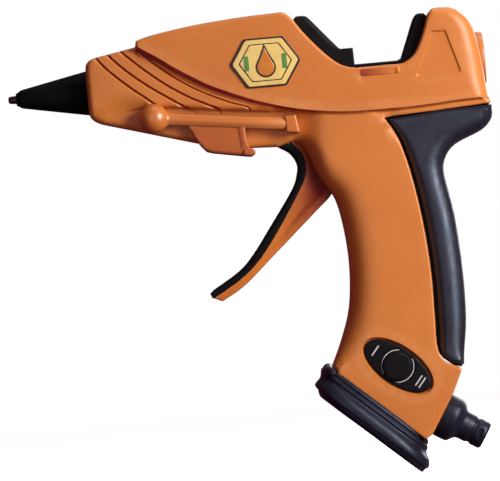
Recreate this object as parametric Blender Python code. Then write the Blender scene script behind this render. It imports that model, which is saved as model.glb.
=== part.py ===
"""A full-size hot glue gun, as an assembly of its separate pieces.

Sizes below are millimetres in the gun's own side view: X runs along the glue stick from the nozzle tip to
the rear, Z is up and Y is across, with the left-hand side at -Y. The whole is shifted so that the origin
is the centre of the flat sole under the foot, and scaled to metres.
"""

import math

import bmesh
import bpy
from mathutils import Matrix, Vector

MM = 0.001
GAP = 0.3
WALL = 2.4
SMOOTH_BELOW = math.radians(35)
INSET_STEP = 0.25

# Glue stick path
STICK_BORE_R = 6.3
GUIDE_R = 8.4
GUIDE_SPLIT = 139.9
NOZZLE_FRONT = 32.0
NOZZLE_BORE_R = 9.1
NOZZLE_FLANGE_R = 10.2
REAR_FACE = 190.0
COLLAR_REAR = 191.8
COLLAR_R = 10.5

# Body thicknesses, each half of the full width
BARREL_HALF = 17.5
PANEL_HALF = 18.7
KEEL_HALF = 12.5
HANDLE_HALF = 16.5
GRIP_THICK = 3.0

# Foot
SOLE_ANGLE = math.radians(41.8)
SOLE_FRONT = (113.5, -129.3)
SOLE_LENGTH = 51.4
FOOT_HEIGHT = 12.0
FOOT_HALF = 23.0
FOOT_CORNER_POWER = 2 / 3.4

# Trigger linkage
TRIGGER_PIVOT = (121.5, -31.0)
TRIGGER_PIN_R = 1.75
TRIGGER_HALF = 8.0
TRIGGER_ROOM_HALF = 9.3
FORK_HALF = 5.4
DRIVE_PIN = (126.3, -13.0)
DRIVE_PIN_R = 1.5
CARRIAGE_R = 9.0
CARRIAGE_BORE_R = 6.7
JAW_PIVOT = (115.6, 11.0)
JAW_PIN_R = 0.95
SPRING_FRONT = 88.6
SPRING_REAR = 108.0
SPRING_R = 10.7

# Fold-out stand
STAND_PIVOT = (57.6, -12.7)
STAND_BALL_R = 6.0
STAND_BALL_Y = 17.0
STAND_ROD_Y = 15.8
STAND_ROD_R = 2.6
STAND_ROD_LENGTH = 54.4
STAND_LEAN = math.atan2(-7.0, 54.0)
STAND_PIN_R = 2.0
KEEL_CLEARANCE = 0.4

# Dial
DIAL_CENTRE = (145.7, -120.0)
DIAL_ANGLE = math.radians(-39.5)
DIAL_LONG = 15.5
DIAL_SHORT = 7.4
DIAL_FACE_Y = -17.0
DIAL_BACK_Y = -15.3
KNOB_R = 6.6
KNOB_FACE_Y = -19.0
KNOB_STEM_R = 2.2

# Cord gland
GLAND_BASE = (161.8, -141.0)
GLAND_ANGLE = math.radians(-32.0)
GLAND_NECK_R = 5.8
GLAND_FLANGE_R = 9.0
CORD_BORE_R = 3.6

# Screws, as X and Z of their axes across the body
SCREWS = [(41.0, 10.2), (88.0, 18.8), (152.0, -14.6), (181.0, 14.4), (147.0, -52.0), (140.0, -98.0),
          (163.0, -128.0)]
SCREW_SEAT_Y = 11.2
SCREW_SHANK_R = 1.3
SCREW_HEAD_R = 3.1
SCREW_WELL_R = 3.5
BOSS_R = 4.7

# Boxes that keep a side or cut one away reach past the body
FAR = 250.0

# Colour, roughness and metallic value of each finish
FINISHES = {
    "orange_plastic": ((0.62, 0.17, 0.03), 0.38, 0.0),
    "dark_orange_plastic": ((0.50, 0.12, 0.02), 0.42, 0.0),
    "black_rubber": ((0.02, 0.02, 0.025), 0.62, 0.0),
    "black_plastic": ((0.015, 0.015, 0.017), 0.4, 0.0),
    "silicone": ((0.012, 0.012, 0.012), 0.7, 0.0),
    "steel": ((0.45, 0.46, 0.47), 0.32, 1.0),
    "aluminium": ((0.72, 0.73, 0.75), 0.4, 1.0),
    "ceramic": ((0.8, 0.78, 0.72), 0.6, 0.0),
    "cream_print": ((0.85, 0.72, 0.38), 0.45, 0.0),
    "wire_jacket": ((0.6, 0.05, 0.04), 0.5, 0.0),
}


def along(angle):
    """The unit direction at this angle in the side view."""
    return Vector((math.cos(angle), math.sin(angle)))


def sole_frame(s, t):
    """Side-view place of a point s along the sole from its front end and t above it."""
    forward = along(-SOLE_ANGLE)
    upward = along(math.pi / 2 - SOLE_ANGLE)
    where = Vector(SOLE_FRONT) + s * forward + t * upward
    return (where.x, where.y)


ORIGIN = sole_frame(SOLE_LENGTH / 2, 0.0)


def place(x, y, z):
    """A point of the gun's own frame as a point of the model, in metres."""
    return Vector(((x - ORIGIN[0]) * MM, y * MM, (z - ORIGIN[1]) * MM))


def finish_of(name):
    """The material of this finish, made once."""
    known = bpy.data.materials.get(name)
    if known:
        return known
    colour, roughness, metallic = FINISHES[name]
    made = bpy.data.materials.new(name)
    made.use_nodes = True
    shader = made.node_tree.nodes["Principled BSDF"]
    shader.inputs["Base Color"].default_value = (*colour, 1.0)
    shader.inputs["Roughness"].default_value = roughness
    shader.inputs["Metallic"].default_value = metallic
    return made


def solid(bm):
    """An unfinished object from this bmesh, with its faces pointing out."""
    bmesh.ops.recalc_face_normals(bm, faces=bm.faces)
    mesh = bpy.data.meshes.new("shape")
    bm.to_mesh(mesh)
    bm.free()
    made = bpy.data.objects.new("shape", mesh)
    bpy.context.scene.collection.objects.link(made)
    return made


def is_closed(mesh):
    """Whether the mesh has faces and every edge joins two of them."""
    bm = bmesh.new()
    bm.from_mesh(mesh)
    whole = len(bm.faces) > 0 and all(edge.is_manifold for edge in bm.edges)
    bm.free()
    return whole


def combine(target, other, operation):
    """Applies one Boolean to target and removes the other shape.

    MANIFOLD steps in where EXACT leaves a hole.
    """
    step = target.modifiers.new("step", "BOOLEAN")
    step.operation = operation
    step.object = other
    for solver in ("EXACT", "MANIFOLD"):
        step.solver = solver
        graph = bpy.context.evaluated_depsgraph_get()
        result = bpy.data.meshes.new_from_object(target.evaluated_get(graph))
        if is_closed(result):
            break
    target.modifiers.clear()
    old = target.data
    target.data = result
    bpy.data.meshes.remove(old)
    bpy.data.objects.remove(other)
    return target


def cut(target, *others):
    for other in others:
        combine(target, other, "DIFFERENCE")
    return target


def join(target, *others):
    for other in others:
        combine(target, other, "UNION")
    return target


def common(target, other):
    return combine(target, other, "INTERSECT")


def named(obj, name, finish):
    """Gives a finished piece its name and its material, and smooth shading on its round faces."""
    obj.name = name
    obj.data.name = name
    obj.data.materials.clear()
    obj.data.materials.append(finish_of(finish))
    obj.data.shade_smooth()
    obj.data.set_sharp_from_angle(angle=SMOOTH_BELOW)
    return obj


def pivoted(obj, x, z, y=0.0):
    """Moves the object's origin onto its joint's axis and leaves its shape where it is."""
    where = place(x, y, z)
    obj.data.transform(Matrix.Translation(-where))
    obj.location = where
    return obj


def carry(parent, *children):
    """The children move with the parent, which is neither turned nor scaled."""
    for child in children:
        child.parent = parent
        child.location -= parent.location


def smooth(points, steps=4):
    """A Catmull-Rom curve through the points, which it keeps."""
    ends = [points[0]] + list(points) + [points[-1]]
    curve = []
    for p0, p1, p2, p3 in zip(ends, ends[1:], ends[2:], ends[3:]):
        for step in range(steps):
            u = step / steps
            curve.append(tuple(
                0.5 * (2 * b + (c - a) * u + (2 * a - 5 * b + 4 * c - d) * u**2
                       + (3 * b - a - 3 * c + d) * u**3)
                for a, b, c, d in zip(p0, p1, p2, p3)
            ))
    return curve + [tuple(points[-1])]


def ellipse(centre, long, short, angle, count):
    """Points of an ellipse in the side view, its long axis at this angle."""
    axis = along(angle)
    side = along(angle + math.pi / 2)
    turns = [2 * math.pi * i / count for i in range(count)]
    spots = [Vector(centre) + long * math.cos(a) * axis + short * math.sin(a) * side for a in turns]
    return [(p.x, p.y) for p in spots]


def shifted(corners, inward, distance):
    """Every corner moved along both of its edges' normals."""
    moved = []
    for i, here in enumerate(corners):
        before = (here - corners[i - 1]).normalized()
        after = (corners[(i + 1) % len(corners)] - here).normalized()
        n1 = inward * Vector((-before.y, before.x))
        n2 = inward * Vector((-after.y, after.x))
        share = max(0.35, 1.0 + n1.dot(n2))
        moved.append(here + (n1 + n2) * (distance / share))
    return moved


def inset(outline, distance):
    """The outline moved inwards, with as many points as before.

    It moves in short steps, and where an edge shrinks away its two ends stay together.
    """
    area = sum(a[0] * b[1] - b[0] * a[1] for a, b in zip(outline, outline[1:] + outline[:1]))
    inward = 1.0 if area > 0 else -1.0
    corners = [Vector(p) for p in outline]
    members = [[i] for i in range(len(outline))]
    steps = max(1, math.ceil(abs(distance) / INSET_STEP))
    for _ in range(steps):
        moved = shifted(corners, inward, distance / steps)
        i = 0
        while i < len(moved):
            j = (i + 1) % len(moved)
            if len(moved) > 3 and (moved[j] - moved[i]).dot(corners[j] - corners[i]) <= 1e-4:
                moved[i] = (moved[i] + moved[j]) / 2
                members[i] += members[j]
                del moved[j], corners[j], members[j]
                i -= j == 0
            else:
                i += 1
        corners = moved
    where = {index: (p.x, p.y) for p, own in zip(corners, members) for index in own}
    return [where[i] for i in range(len(outline))]


def loft(rings):
    """A closed solid through rings of equal point counts, given as points of the gun's frame."""
    bm = bmesh.new()
    loops = [[bm.verts.new(place(*p)) for p in ring] for ring in rings]
    for low, high in zip(loops, loops[1:]):
        for i in range(len(low)):
            j = (i + 1) % len(low)
            bm.faces.new((low[i], low[j], high[j], high[i]))
    bm.faces.new(loops[0])
    bm.faces.new(loops[-1])
    bmesh.ops.remove_doubles(bm, verts=bm.verts, dist=1e-3 * MM)
    return solid(bm)


def prism(outline, low, high):
    """The side-view outline from Y=low to Y=high."""
    return loft([[(x, y, z) for x, z in outline] for y in (low, high)])


def slab(outline, half, edge=0.0):
    """The outline as a plate from -half to +half across, its long edges rounded by edge."""
    if edge <= 0:
        return prism(outline, -half, half)
    turns = [math.radians(a) for a in (90, 45, 0)]
    right = [(half - edge * (1 - math.sin(a)), edge * (1 - math.cos(a))) for a in turns]
    levels = [(-y, d) for y, d in right] + [(y, d) for y, d in reversed(right)]
    return loft([[(x, y, z) for x, z in inset(outline, d)] for y, d in levels])


def box(x0, x1, y0, y1, z0, z1):
    return prism([(x0, z0), (x1, z0), (x1, z1), (x0, z1)], y0, y1)


def turned(profile, start, angle=0.0, y=0.0, count=24):
    """A solid turned about an axis in the side view, through (distance along, radius) points.

    A profile that begins and ends at radius 0 is solid. Any other profile is a closed ring around a bore.
    """
    axis = along(angle)
    side = along(angle + math.pi / 2)
    bm = bmesh.new()
    rings = []
    for distance, radius in profile:
        middle = Vector(start) + distance * axis
        if radius == 0:
            rings.append([bm.verts.new(place(middle.x, y, middle.y))])
            continue
        ring = []
        for i in range(count):
            a = 2 * math.pi * (i + 0.5) / count
            spot = middle + radius * math.cos(a) * side
            ring.append(bm.verts.new(place(spot.x, y + radius * math.sin(a), spot.y)))
        rings.append(ring)
    pairs = list(zip(rings, rings[1:]))
    if profile[0][1] > 0:
        pairs.append((rings[-1], rings[0]))
    for low, high in pairs:
        for i in range(count):
            j = i + 1
            corners = [low[i % len(low)], low[j % len(low)], high[j % len(high)], high[i % len(high)]]
            bm.faces.new(list(dict.fromkeys(corners)))
    return solid(bm)


def rod(start, end, radius, angle=0.0, y=0.0, count=24, at=(0.0, 0.0)):
    """A plain cylinder along the side-view axis."""
    return turned([(start, 0), (start, radius), (end, radius), (end, 0)], at, angle, y, count)


def cross_rod(x, z, radius, y0, y1, count=16):
    """A cylinder across the body, from Y=y0 to Y=y1."""
    turns = [2 * math.pi * (i + 0.5) / count for i in range(count)]
    circle = [(x + radius * math.cos(a), z + radius * math.sin(a)) for a in turns]
    return prism(circle, y0, y1)


def ball(x, y, z, radius, count=12):
    """A sphere of latitude rings about the X axis."""
    turns = [math.pi * i / (count // 2) for i in range(1, count // 2)]
    middle = [(-radius * math.cos(a), radius * math.sin(a)) for a in turns]
    return turned([(-radius, 0)] + middle + [(radius, 0)], (x, z), 0.0, y, count)


def wire(name, path, radius, finish):
    """A four-sided tube along points of the gun's frame."""
    curve = bpy.data.curves.new(name, "CURVE")
    curve.dimensions = "3D"
    curve.bevel_depth = radius * MM
    curve.bevel_resolution = 0
    curve.use_fill_caps = True
    line = curve.splines.new("POLY")
    line.points.add(len(path) - 1)
    for spot, p in zip(line.points, path):
        spot.co = (*place(*p), 1.0)
    made = bpy.data.objects.new(name, curve)
    curve.materials.append(finish_of(finish))
    bpy.context.scene.collection.objects.link(made)
    return made


def coil(name, x0, x1, radius, wire_r, turns, finish, per_turn=9):
    """A spring about the glue stick's axis."""
    count = int(turns * per_turn)
    path = []
    for i in range(count + 1):
        a = 2 * math.pi * turns * i / count
        path.append((x0 + (x1 - x0) * i / count, radius * math.sin(a), radius * math.cos(a)))
    return wire(name, path, wire_r, finish)


# ---------------------------------------------------------------- outlines of the body

def saddle_floor_and_slopes():
    """The body's top edge from the front slope, across the saddle floor and up the rear hump."""
    front = smooth([(113.0, 24.9), (116.2, 21.9), (120.0, 16.4), (125.0, 10.3), (130.0, 5.1),
                    (138.5, 0.2)], 2)
    rear = smooth([(158.8, 0.2), (163.6, 3.8), (167.2, 10.5), (170.2, 18.2), (173.2, 21.2)], 2)
    return front + rear


def rear_edge():
    """The back of the body, from the top of the rear hump down to the rubber."""
    return smooth([(177.5, 20.9), (183.6, 18.6), (187.2, 14.0), (188.8, 8.6), (REAR_FACE, 1.0)], 2) + [
        (190.8, -9.0), (191.6, -16.4)]


def panel_outline():
    """The raised upper panel: the top of the body above the curved step."""
    top = smooth([(53.2, 18.9), (62.0, 20.6), (78.0, 22.9), (96.0, 24.3)], 2)
    step = smooth([(191.6, -16.4), (170.0, -17.0), (150.0, -17.5), (130.0, -16.4), (112.0, -13.8),
                   (95.0, -9.3), (80.0, -2.9), (66.0, 6.6), (53.4, 16.2)], 2)
    return top + saddle_floor_and_slopes() + rear_edge()[:-1] + step


def barrel_outline():
    """The nose and the body under the panel, with the flanks cut away for the stand's arms."""
    nose = [(NOZZLE_FRONT, -9.0), (NOZZLE_FRONT, 9.6), (33.2, 12.2), (35.6, 13.4), (52.5, 16.3)]
    under_panel = [(60.0, 15.2), (108.0, 19.5), (122.0, 8.0), (134.0, -1.8), (160.0, -1.8), (172.0, 14.5),
                   (182.0, 13.8), (188.3, 0.0), (191.9, -17.6), (192.3, -18.8)]
    bottom = [(149.0, -20.2), (136.0, -22.0), (119.0, -20.0), (117.0, -15.8), (100.0, -13.9), (80.0, -11.4),
              (62.0, -8.9), (50.0, -8.9), (44.0, -10.4), (39.0, -13.4), (35.5, -12.4), (33.2, -11.0)]
    return nose + under_panel + bottom


def keel_outline():
    """The narrow underside that the stand's arms lie against, and the arch over the trigger."""
    return [(37.0, -3.0), (37.0, -13.1), (75.0, -24.3), (86.0, -27.6), (106.6, -28.3), (112.6, -26.4),
            (116.2, -29.0), (118.2, -33.4), (119.8, -38.4), (122.6, -44.0), (127.6, -50.6), (136.0, -52.0),
            (136.0, -3.0)]


def handle_front():
    """The front edge of the handle, from the arch down to the foot."""
    return smooth([(118.4, -26.0), (120.2, -33.6), (121.2, -38.4), (123.8, -43.8), (127.0, -50.2),
                   (129.4, -64.0), (130.2, -79.0), (128.6, -95.0), (124.6, -107.6), (120.6, -117.0)], 2)


def handle_rear():
    """The rear edge of the handle and of the horn over the hand, from the foot up."""
    return smooth([(172.4, -121.6), (174.8, -103.0), (175.2, -84.0), (174.0, -62.0), (171.5, -46.0),
                   (172.0, -38.4), (177.4, -33.2), (189.0, -28.4), (192.6, -23.2)], 3) + [(192.5, -19.4)]


def grip_border():
    """The line on the body's side where the rubber begins, from under the body down to the foot."""
    upper = smooth([(149.2, -20.7), (154.2, -29.6), (158.0, -44.0), (161.0, -64.0), (162.4, -84.0),
                    (162.2, -104.0), (162.0, -113.0)], 2)
    return upper + [(163.6, -118.0), (167.4, -120.6), (172.8, -122.0)]


def tail():
    """The underside of the handle, from below the rubber, past the cord gland, along the foot."""
    across = along(GLAND_ANGLE + math.pi / 2)
    high = Vector(GLAND_BASE) + GLAND_FLANGE_R * across
    low = Vector(GLAND_BASE) - GLAND_FLANGE_R * across
    return [(170.8, -124.4), (high.x, high.y), (low.x, low.y), sole_frame(44.4, FOOT_HEIGHT + GAP),
            sole_frame(0.6, FOOT_HEIGHT + GAP)]


def handle_outline():
    """The whole handle with the rubber on it, up into the body."""
    inside_body = [(188.0, -16.0), (186.0, -12.0), (120.0, -12.0)]
    return handle_front() + list(reversed(tail())) + handle_rear() + inside_body


# ---------------------------------------------------------------- housing and rubber

def full_handle():
    return slab(handle_outline(), HANDLE_HALF, 5.0)


def handle_core(grow=0.0):
    """The plastic under the rubber."""
    depth = GRIP_THICK + grow
    return slab(inset(handle_outline(), depth), HANDLE_HALF - depth, 3.0)


def rubber_region(grow=0.0):
    """Everything behind the rubber's border line."""
    region = grip_border() + [(205.0, -122.0), (205.0, -19.4)]
    return prism(inset(region, -grow), -2 * HANDLE_HALF, 2 * HANDLE_HALF)


def housing_form():
    """The outside of both housing halves, as one solid."""
    plastic = cut(full_handle(), rubber_region(GAP))
    join(plastic, handle_core(GAP))
    form = slab(barrel_outline(), BARREL_HALF, 3.5)
    return join(form, slab(panel_outline(), PANEL_HALF, 2.4), slab(keel_outline(), KEEL_HALF, 2.0), plastic)


def front_room():
    """The hollow in the handle ahead of the rubber."""
    floor = FOOT_HEIGHT + GAP + WALL
    front = [(x + WALL, z) for x, z in handle_front()[2:]]
    bottom = [sole_frame(4.5, floor), sole_frame(40.0, floor), (161.0, -133.0)]
    rear = [(x - WALL - 0.8, z) for x, z in reversed(grip_border()[1:-3])]
    return front + bottom + rear + [(147.0, -15.0), (121.0, -15.0)]


def housing_hollow():
    """Everything inside the walls, as one solid."""
    hollow = slab(inset(barrel_outline(), WALL), BARREL_HALF - WALL, 2.0)
    join(hollow, slab(inset(keel_outline(), WALL), KEEL_HALF - WALL))
    join(hollow, slab(front_room(), HANDLE_HALF - WALL, 2.0))
    nose_of_panel = [(62.0, 14.0), (70.0, 17.6), (96.0, 21.6), (110.6, 22.0), (117.8, 14.2), (122.8, 7.8),
                     (124.0, 2.0), (60.0, 2.0)]
    return join(hollow, slab(nose_of_panel, PANEL_HALF - WALL - 0.6))


def screw_bosses():
    """One pillar for each screw, from wall to wall."""
    first, *others = [cross_rod(x, z, BOSS_R, -BARREL_HALF, BARREL_HALF, 10) for x, z in SCREWS]
    return join(first, *others)


def housing_openings(form):
    """Cuts every hole that other pieces pass through."""
    cut(form, rod(20.0, 60.0, NOZZLE_BORE_R))
    cut(form, rod(34.4, 36.3, NOZZLE_FLANGE_R))
    cut(form, rod(104.0, 200.0, GUIDE_R + 0.4))
    cut(form, rod(REAR_FACE - 2.0, 200.0, COLLAR_R + 0.5))
    cut(form, box(104.8, 137.0, -TRIGGER_ROOM_HALF, TRIGGER_ROOM_HALF, -58.0, -22.0))
    cut(form, cross_rod(*TRIGGER_PIVOT, TRIGGER_PIN_R + GAP, -11.5, 11.5))
    for side in (-1, 1):
        sx, sz = STAND_PIVOT
        cut(form, ball(sx, side * STAND_BALL_Y, sz, STAND_BALL_R + 0.5))
        cut(form, cross_rod(sx, sz, STAND_PIN_R + 0.4, side * 8.0, side * 16.0))
    seat = ellipse(DIAL_CENTRE, DIAL_LONG + GAP, DIAL_SHORT + GAP, DIAL_ANGLE, 32)
    cut(form, prism(seat, -20.0, DIAL_BACK_Y + GAP))
    cut(form, cross_rod(*DIAL_CENTRE, KNOB_STEM_R + 0.4, -20.0, -8.0))
    cut(form, rod(-14.0, 10.0, GLAND_NECK_R + 0.5, GLAND_ANGLE, at=GLAND_BASE))
    for x, z in SCREWS:
        cut(form, cross_rod(x, z, SCREW_SHANK_R + GAP, -9.0, 1.0, 8))
        cut(form, cross_rod(x, z, SCREW_SHANK_R + 2 * GAP, -0.5, 12.0, 8))
        cut(form, cross_rod(x, z, SCREW_WELL_R, SCREW_SEAT_Y, 25.0, 12))
    return form


def side_box(low, high):
    """Everything between these two distances across the body."""
    return box(-FAR, FAR, low, high, -FAR, FAR)


def make_housing():
    hollow = housing_hollow()
    cut(hollow, screw_bosses())
    form = cut(housing_form(), hollow)
    housing_openings(form)
    other = form.copy()
    other.data = form.data.copy()
    bpy.context.scene.collection.objects.link(other)
    named(common(form, side_box(-FAR, -GAP / 2)), "left_housing", "orange_plastic")
    named(common(other, side_box(GAP / 2, FAR)), "right_housing", "orange_plastic")


def make_grips():
    for name, low, high in (("left_grip", -FAR, -GAP / 2), ("right_grip", GAP / 2, FAR)):
        rubber = common(full_handle(), rubber_region())
        cut(rubber, handle_core())
        named(common(rubber, side_box(low, high)), name, "black_rubber")


# ---------------------------------------------------------------- stick guide and collar

def guide_ring(start, end):
    return turned([(start, 4.0), (start, GUIDE_R), (end, GUIDE_R), (end, 4.0)], (0.0, 0.0))


def make_saddle_guide():
    """The saddle's black lining: a ring under a front wedge, a half-round trough and a rear wedge above it."""
    front = [(116.6, 22.3), (117.6, 22.9), (120.8, 22.9), (122.8, 21.8), (133.5, 8.9), (139.6, 8.7),
             (139.6, 0.7), (138.6, 0.7), (130.4, 5.5), (125.4, 10.7), (120.4, 16.8)]
    rear = [(157.0, 0.7), (158.2, 2.2), (164.6, 18.0), (166.2, 19.7), (168.8, 19.7), (169.6, 18.4),
            (166.6, 10.8), (163.0, 4.2), (158.6, 0.7)]
    ring = join(guide_ring(131.0, GUIDE_SPLIT - GAP / 2), slab(front, 13.0, 1.2))
    trough = cut(guide_ring(GUIDE_SPLIT + GAP / 2, 166.0), box(130.0, 170.0, -20.0, 20.0, 0.4, 20.0))
    join(trough, box(140.6, 156.2, -12.6, 12.6, 0.2, 1.6))
    for lining, name in ((ring, "front_guide"), (trough, "saddle_trough"), (slab(rear, 13.0), "rear_guide")):
        named(cut(lining, rod(100.0, 180.0, STICK_BORE_R)), name, "black_plastic")


def make_inlet_collar():
    """The ring that the glue stick is pushed in through."""
    chamfer = 0.8
    profile = [(166.2, STICK_BORE_R), (COLLAR_REAR - chamfer, STICK_BORE_R),
               (COLLAR_REAR, STICK_BORE_R + chamfer), (COLLAR_REAR, COLLAR_R - chamfer),
               (COLLAR_REAR - chamfer, COLLAR_R), (188.4, COLLAR_R), (188.4, GUIDE_R), (166.2, GUIDE_R)]
    named(turned(profile, (0.0, 0.0)), "stick_inlet_collar", "dark_orange_plastic")


# ---------------------------------------------------------------- nozzle and heater

def make_nozzle():
    outer = [(0.0, 0.8), (0.25, 1.15), (0.9, 1.5), (3.2, 1.65), (6.0, 2.2), (30.0, 4.6), (38.0, 4.6),
             (38.0, 6.2), (43.0, 6.2), (43.0, 4.2), (54.5, 4.2)]
    inner = [(54.5, 2.8), (32.5, 2.8), (31.0, 1.5), (28.3, 1.5), (27.2, 2.6), (12.5, 2.6), (11.0, 0.8)]
    named(turned(outer + inner, (0.0, 0.0), count=16), "nozzle_tip", "steel")
    boot = [(3.4, 2.1), (3.9, 3.0), (5.0, 3.6), (NOZZLE_FRONT, 8.8), (34.8, 8.8), (34.8, 9.8),
            (36.0, 9.8), (36.0, 5.2), (30.0, 5.2), (6.0, 2.7), (4.6, 2.1)]
    named(turned(boot, (0.0, 0.0)), "nozzle_boot", "silicone")
    pivoted(named(ball(26.0, 0.0, 0.0, 2.0), "check_ball", "steel"), 26.0, 0.0)
    coil("check_spring", 13.2, 23.4, 1.7, 0.3, 4, "steel", 8)


def make_melt_chamber():
    profile = [(47.0, 4.5), (55.5, 4.5), (55.5, 3.0), (58.0, 3.0), (66.0, STICK_BORE_R),
               (93.0, STICK_BORE_R), (93.0, 7.3), (88.0, 7.3), (88.0, 8.5), (47.0, 8.5)]
    chamber = turned(profile, (0.0, 0.0))
    join(chamber, box(60.0, 84.0, -6.2, 6.2, -13.8, -7.6))
    cut(chamber, box(58.0, 86.0, -5.0, 5.0, -12.6, -9.8))
    named(chamber, "melt_chamber", "aluminium")
    named(box(61.0, 83.0, -4.7, 4.7, -12.2, -10.2), "heater_plate", "ceramic")
    clip = cut(box(64.0, 80.0, -7.6, 7.6, -15.2, -9.0), box(60.0, 84.0, -6.5, 6.5, -14.2, -8.0))
    named(clip, "heater_clip", "steel")
    for name, start in (("front_chamber_support", 49.0), ("rear_chamber_support", 84.6)):
        ring = [(start, 8.8), (start + 2.8, 8.8), (start + 2.8, 11.6), (start, 11.6)]
        named(turned(ring, (0.0, 0.0)), name, "ceramic")


def make_inlet_sleeve():
    profile = [(88.4, 7.6), (93.4, 7.6), (93.4, STICK_BORE_R), (99.8, STICK_BORE_R), (99.8, 8.0),
               (93.0, 8.7), (88.4, 8.7)]
    named(turned(profile, (0.0, 0.0)), "inlet_sleeve", "silicone")
    ring = [(89.4, 8.95), (91.8, 8.95), (91.8, 9.35), (89.4, 9.35)]
    named(turned(ring, (0.0, 0.0)), "sleeve_clamp", "steel")


# ---------------------------------------------------------------- trigger and feed

def pad_front():
    """The face that the fingers pull."""
    return smooth([(106.4, -29.1), (110.4, -31.6), (112.8, -35.6), (112.6, -39.6), (110.0, -46.0),
                   (100.0, -60.0), (92.4, -70.2), (86.0, -76.6), (74.2, -83.2)], 2)


def pad_back():
    """The line where the pad meets the lever."""
    return smooth([(112.2, -27.9), (115.2, -31.4), (116.4, -36.6), (115.0, -43.2), (105.0, -59.0),
                   (95.0, -72.4), (86.0, -80.2), (75.2, -86.2)], 2)


def fork_outline(corners):
    """A side-view outline from places along the trigger's fork, towards the drive pin, and across it."""
    px, pz = TRIGGER_PIVOT
    lean = math.atan2(DRIVE_PIN[0] - px, DRIVE_PIN[1] - pz)
    spots = [Vector(TRIGGER_PIVOT) + a * along(math.pi / 2 - lean) + b * along(-lean) for a, b in corners]
    return [(p.x, p.y) for p in spots]


def make_trigger():
    """The lever with its fork, the rubber pad on its front and the pin that it turns on."""
    hood = [(111.2, -27.4), (107.4, -27.4), (108.4, -24.2), (111.0, -20.8), (114.4, -18.8),
            (119.0, -18.6), (124.0, -22.0)]
    rear = [(126.6, -32.0), (127.0, -42.0), (126.4, -49.2), (118.0, -56.2), (100.0, -72.0),
            (88.0, -82.4), (79.8, -87.6)]
    seat = [(x + GAP, z - 0.1) for x, z in reversed(pad_back())]
    lever = slab(seat + hood + rear, TRIGGER_HALF, 1.2)
    join(lever, slab(fork_outline([(-4.0, 3.6), (21.0, 3.0), (21.0, -3.0), (-4.0, -3.6)]), FORK_HALF))
    cut(lever, box(105.0, 140.0, -2.6, 2.6, -17.4, 0.0))
    slot_half = DRIVE_PIN_R + 0.35
    slot = fork_outline([(16.2, slot_half), (25.0, slot_half), (25.0, -slot_half), (16.2, -slot_half)])
    cut(lever, slab(slot, TRIGGER_ROOM_HALF))
    cut(lever, cross_rod(*TRIGGER_PIVOT, TRIGGER_PIN_R + GAP, -TRIGGER_ROOM_HALF, TRIGGER_ROOM_HALF))
    pivoted(named(lever, "trigger", "orange_plastic"), *TRIGGER_PIVOT)
    pad = slab(pad_front() + list(reversed(pad_back())), TRIGGER_HALF + 1.0, 1.0)
    carry(lever, pivoted(named(pad, "trigger_pad", "black_rubber"), *TRIGGER_PIVOT))
    named(cross_rod(*TRIGGER_PIVOT, TRIGGER_PIN_R, -11.2, 11.2), "trigger_pin", "steel")


def make_carriage():
    """The tube that the trigger draws forward, with the jaw that bites the glue stick."""
    front, rear = 109.0, 119.4
    profile = [(front, CARRIAGE_BORE_R), (rear, CARRIAGE_BORE_R), (rear, CARRIAGE_R),
               (front + 2.0, CARRIAGE_R), (front + 2.0, 11.4), (front, 11.4)]
    carriage = turned(profile, (0.0, 0.0))
    rail = [(111.4, -8.0), (119.0, -8.0), (119.6, -10.8), (128.4, -10.8), (128.4, -15.2), (116.0, -15.2),
            (111.4, -12.0)]
    join(carriage, slab(rail, 2.2), cross_rod(*DRIVE_PIN, DRIVE_PIN_R, -6.4, 6.4))
    for low, high in ((-4.6, -2.6), (2.6, 4.6)):
        join(carriage, box(111.8, 118.2, low, high, 7.6, 13.0))
    cut(carriage, box(111.6, 119.0, -2.5, 2.5, 4.0, 14.0))
    cut(carriage, cross_rod(*JAW_PIVOT, JAW_PIN_R + GAP + 0.05, -6.0, 6.0))
    cut(carriage, rod(100.0, 130.0, CARRIAGE_BORE_R))
    pivoted(named(carriage, "carriage", "black_plastic"), front, 0.0)
    outline = [(113.6, 11.8), (115.0, 13.0), (116.4, 12.9), (117.6, 11.6), (117.5, 10.2), (116.0, 9.0),
               (113.0, 7.4), (112.4, 8.2)]
    jaw = cut(slab(outline, 2.1), cross_rod(*JAW_PIVOT, JAW_PIN_R + GAP, -4.0, 4.0))
    pin = cross_rod(*JAW_PIVOT, JAW_PIN_R, -5.6, 5.6)
    pieces = [named(jaw, "gripper_jaw", "steel"), named(pin, "jaw_pin", "steel")]
    carry(carriage, *[pivoted(piece, *JAW_PIVOT) for piece in pieces])
    coil("return_spring", SPRING_FRONT, SPRING_REAR, SPRING_R, 0.45, 5, "steel")


# ---------------------------------------------------------------- stand

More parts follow.
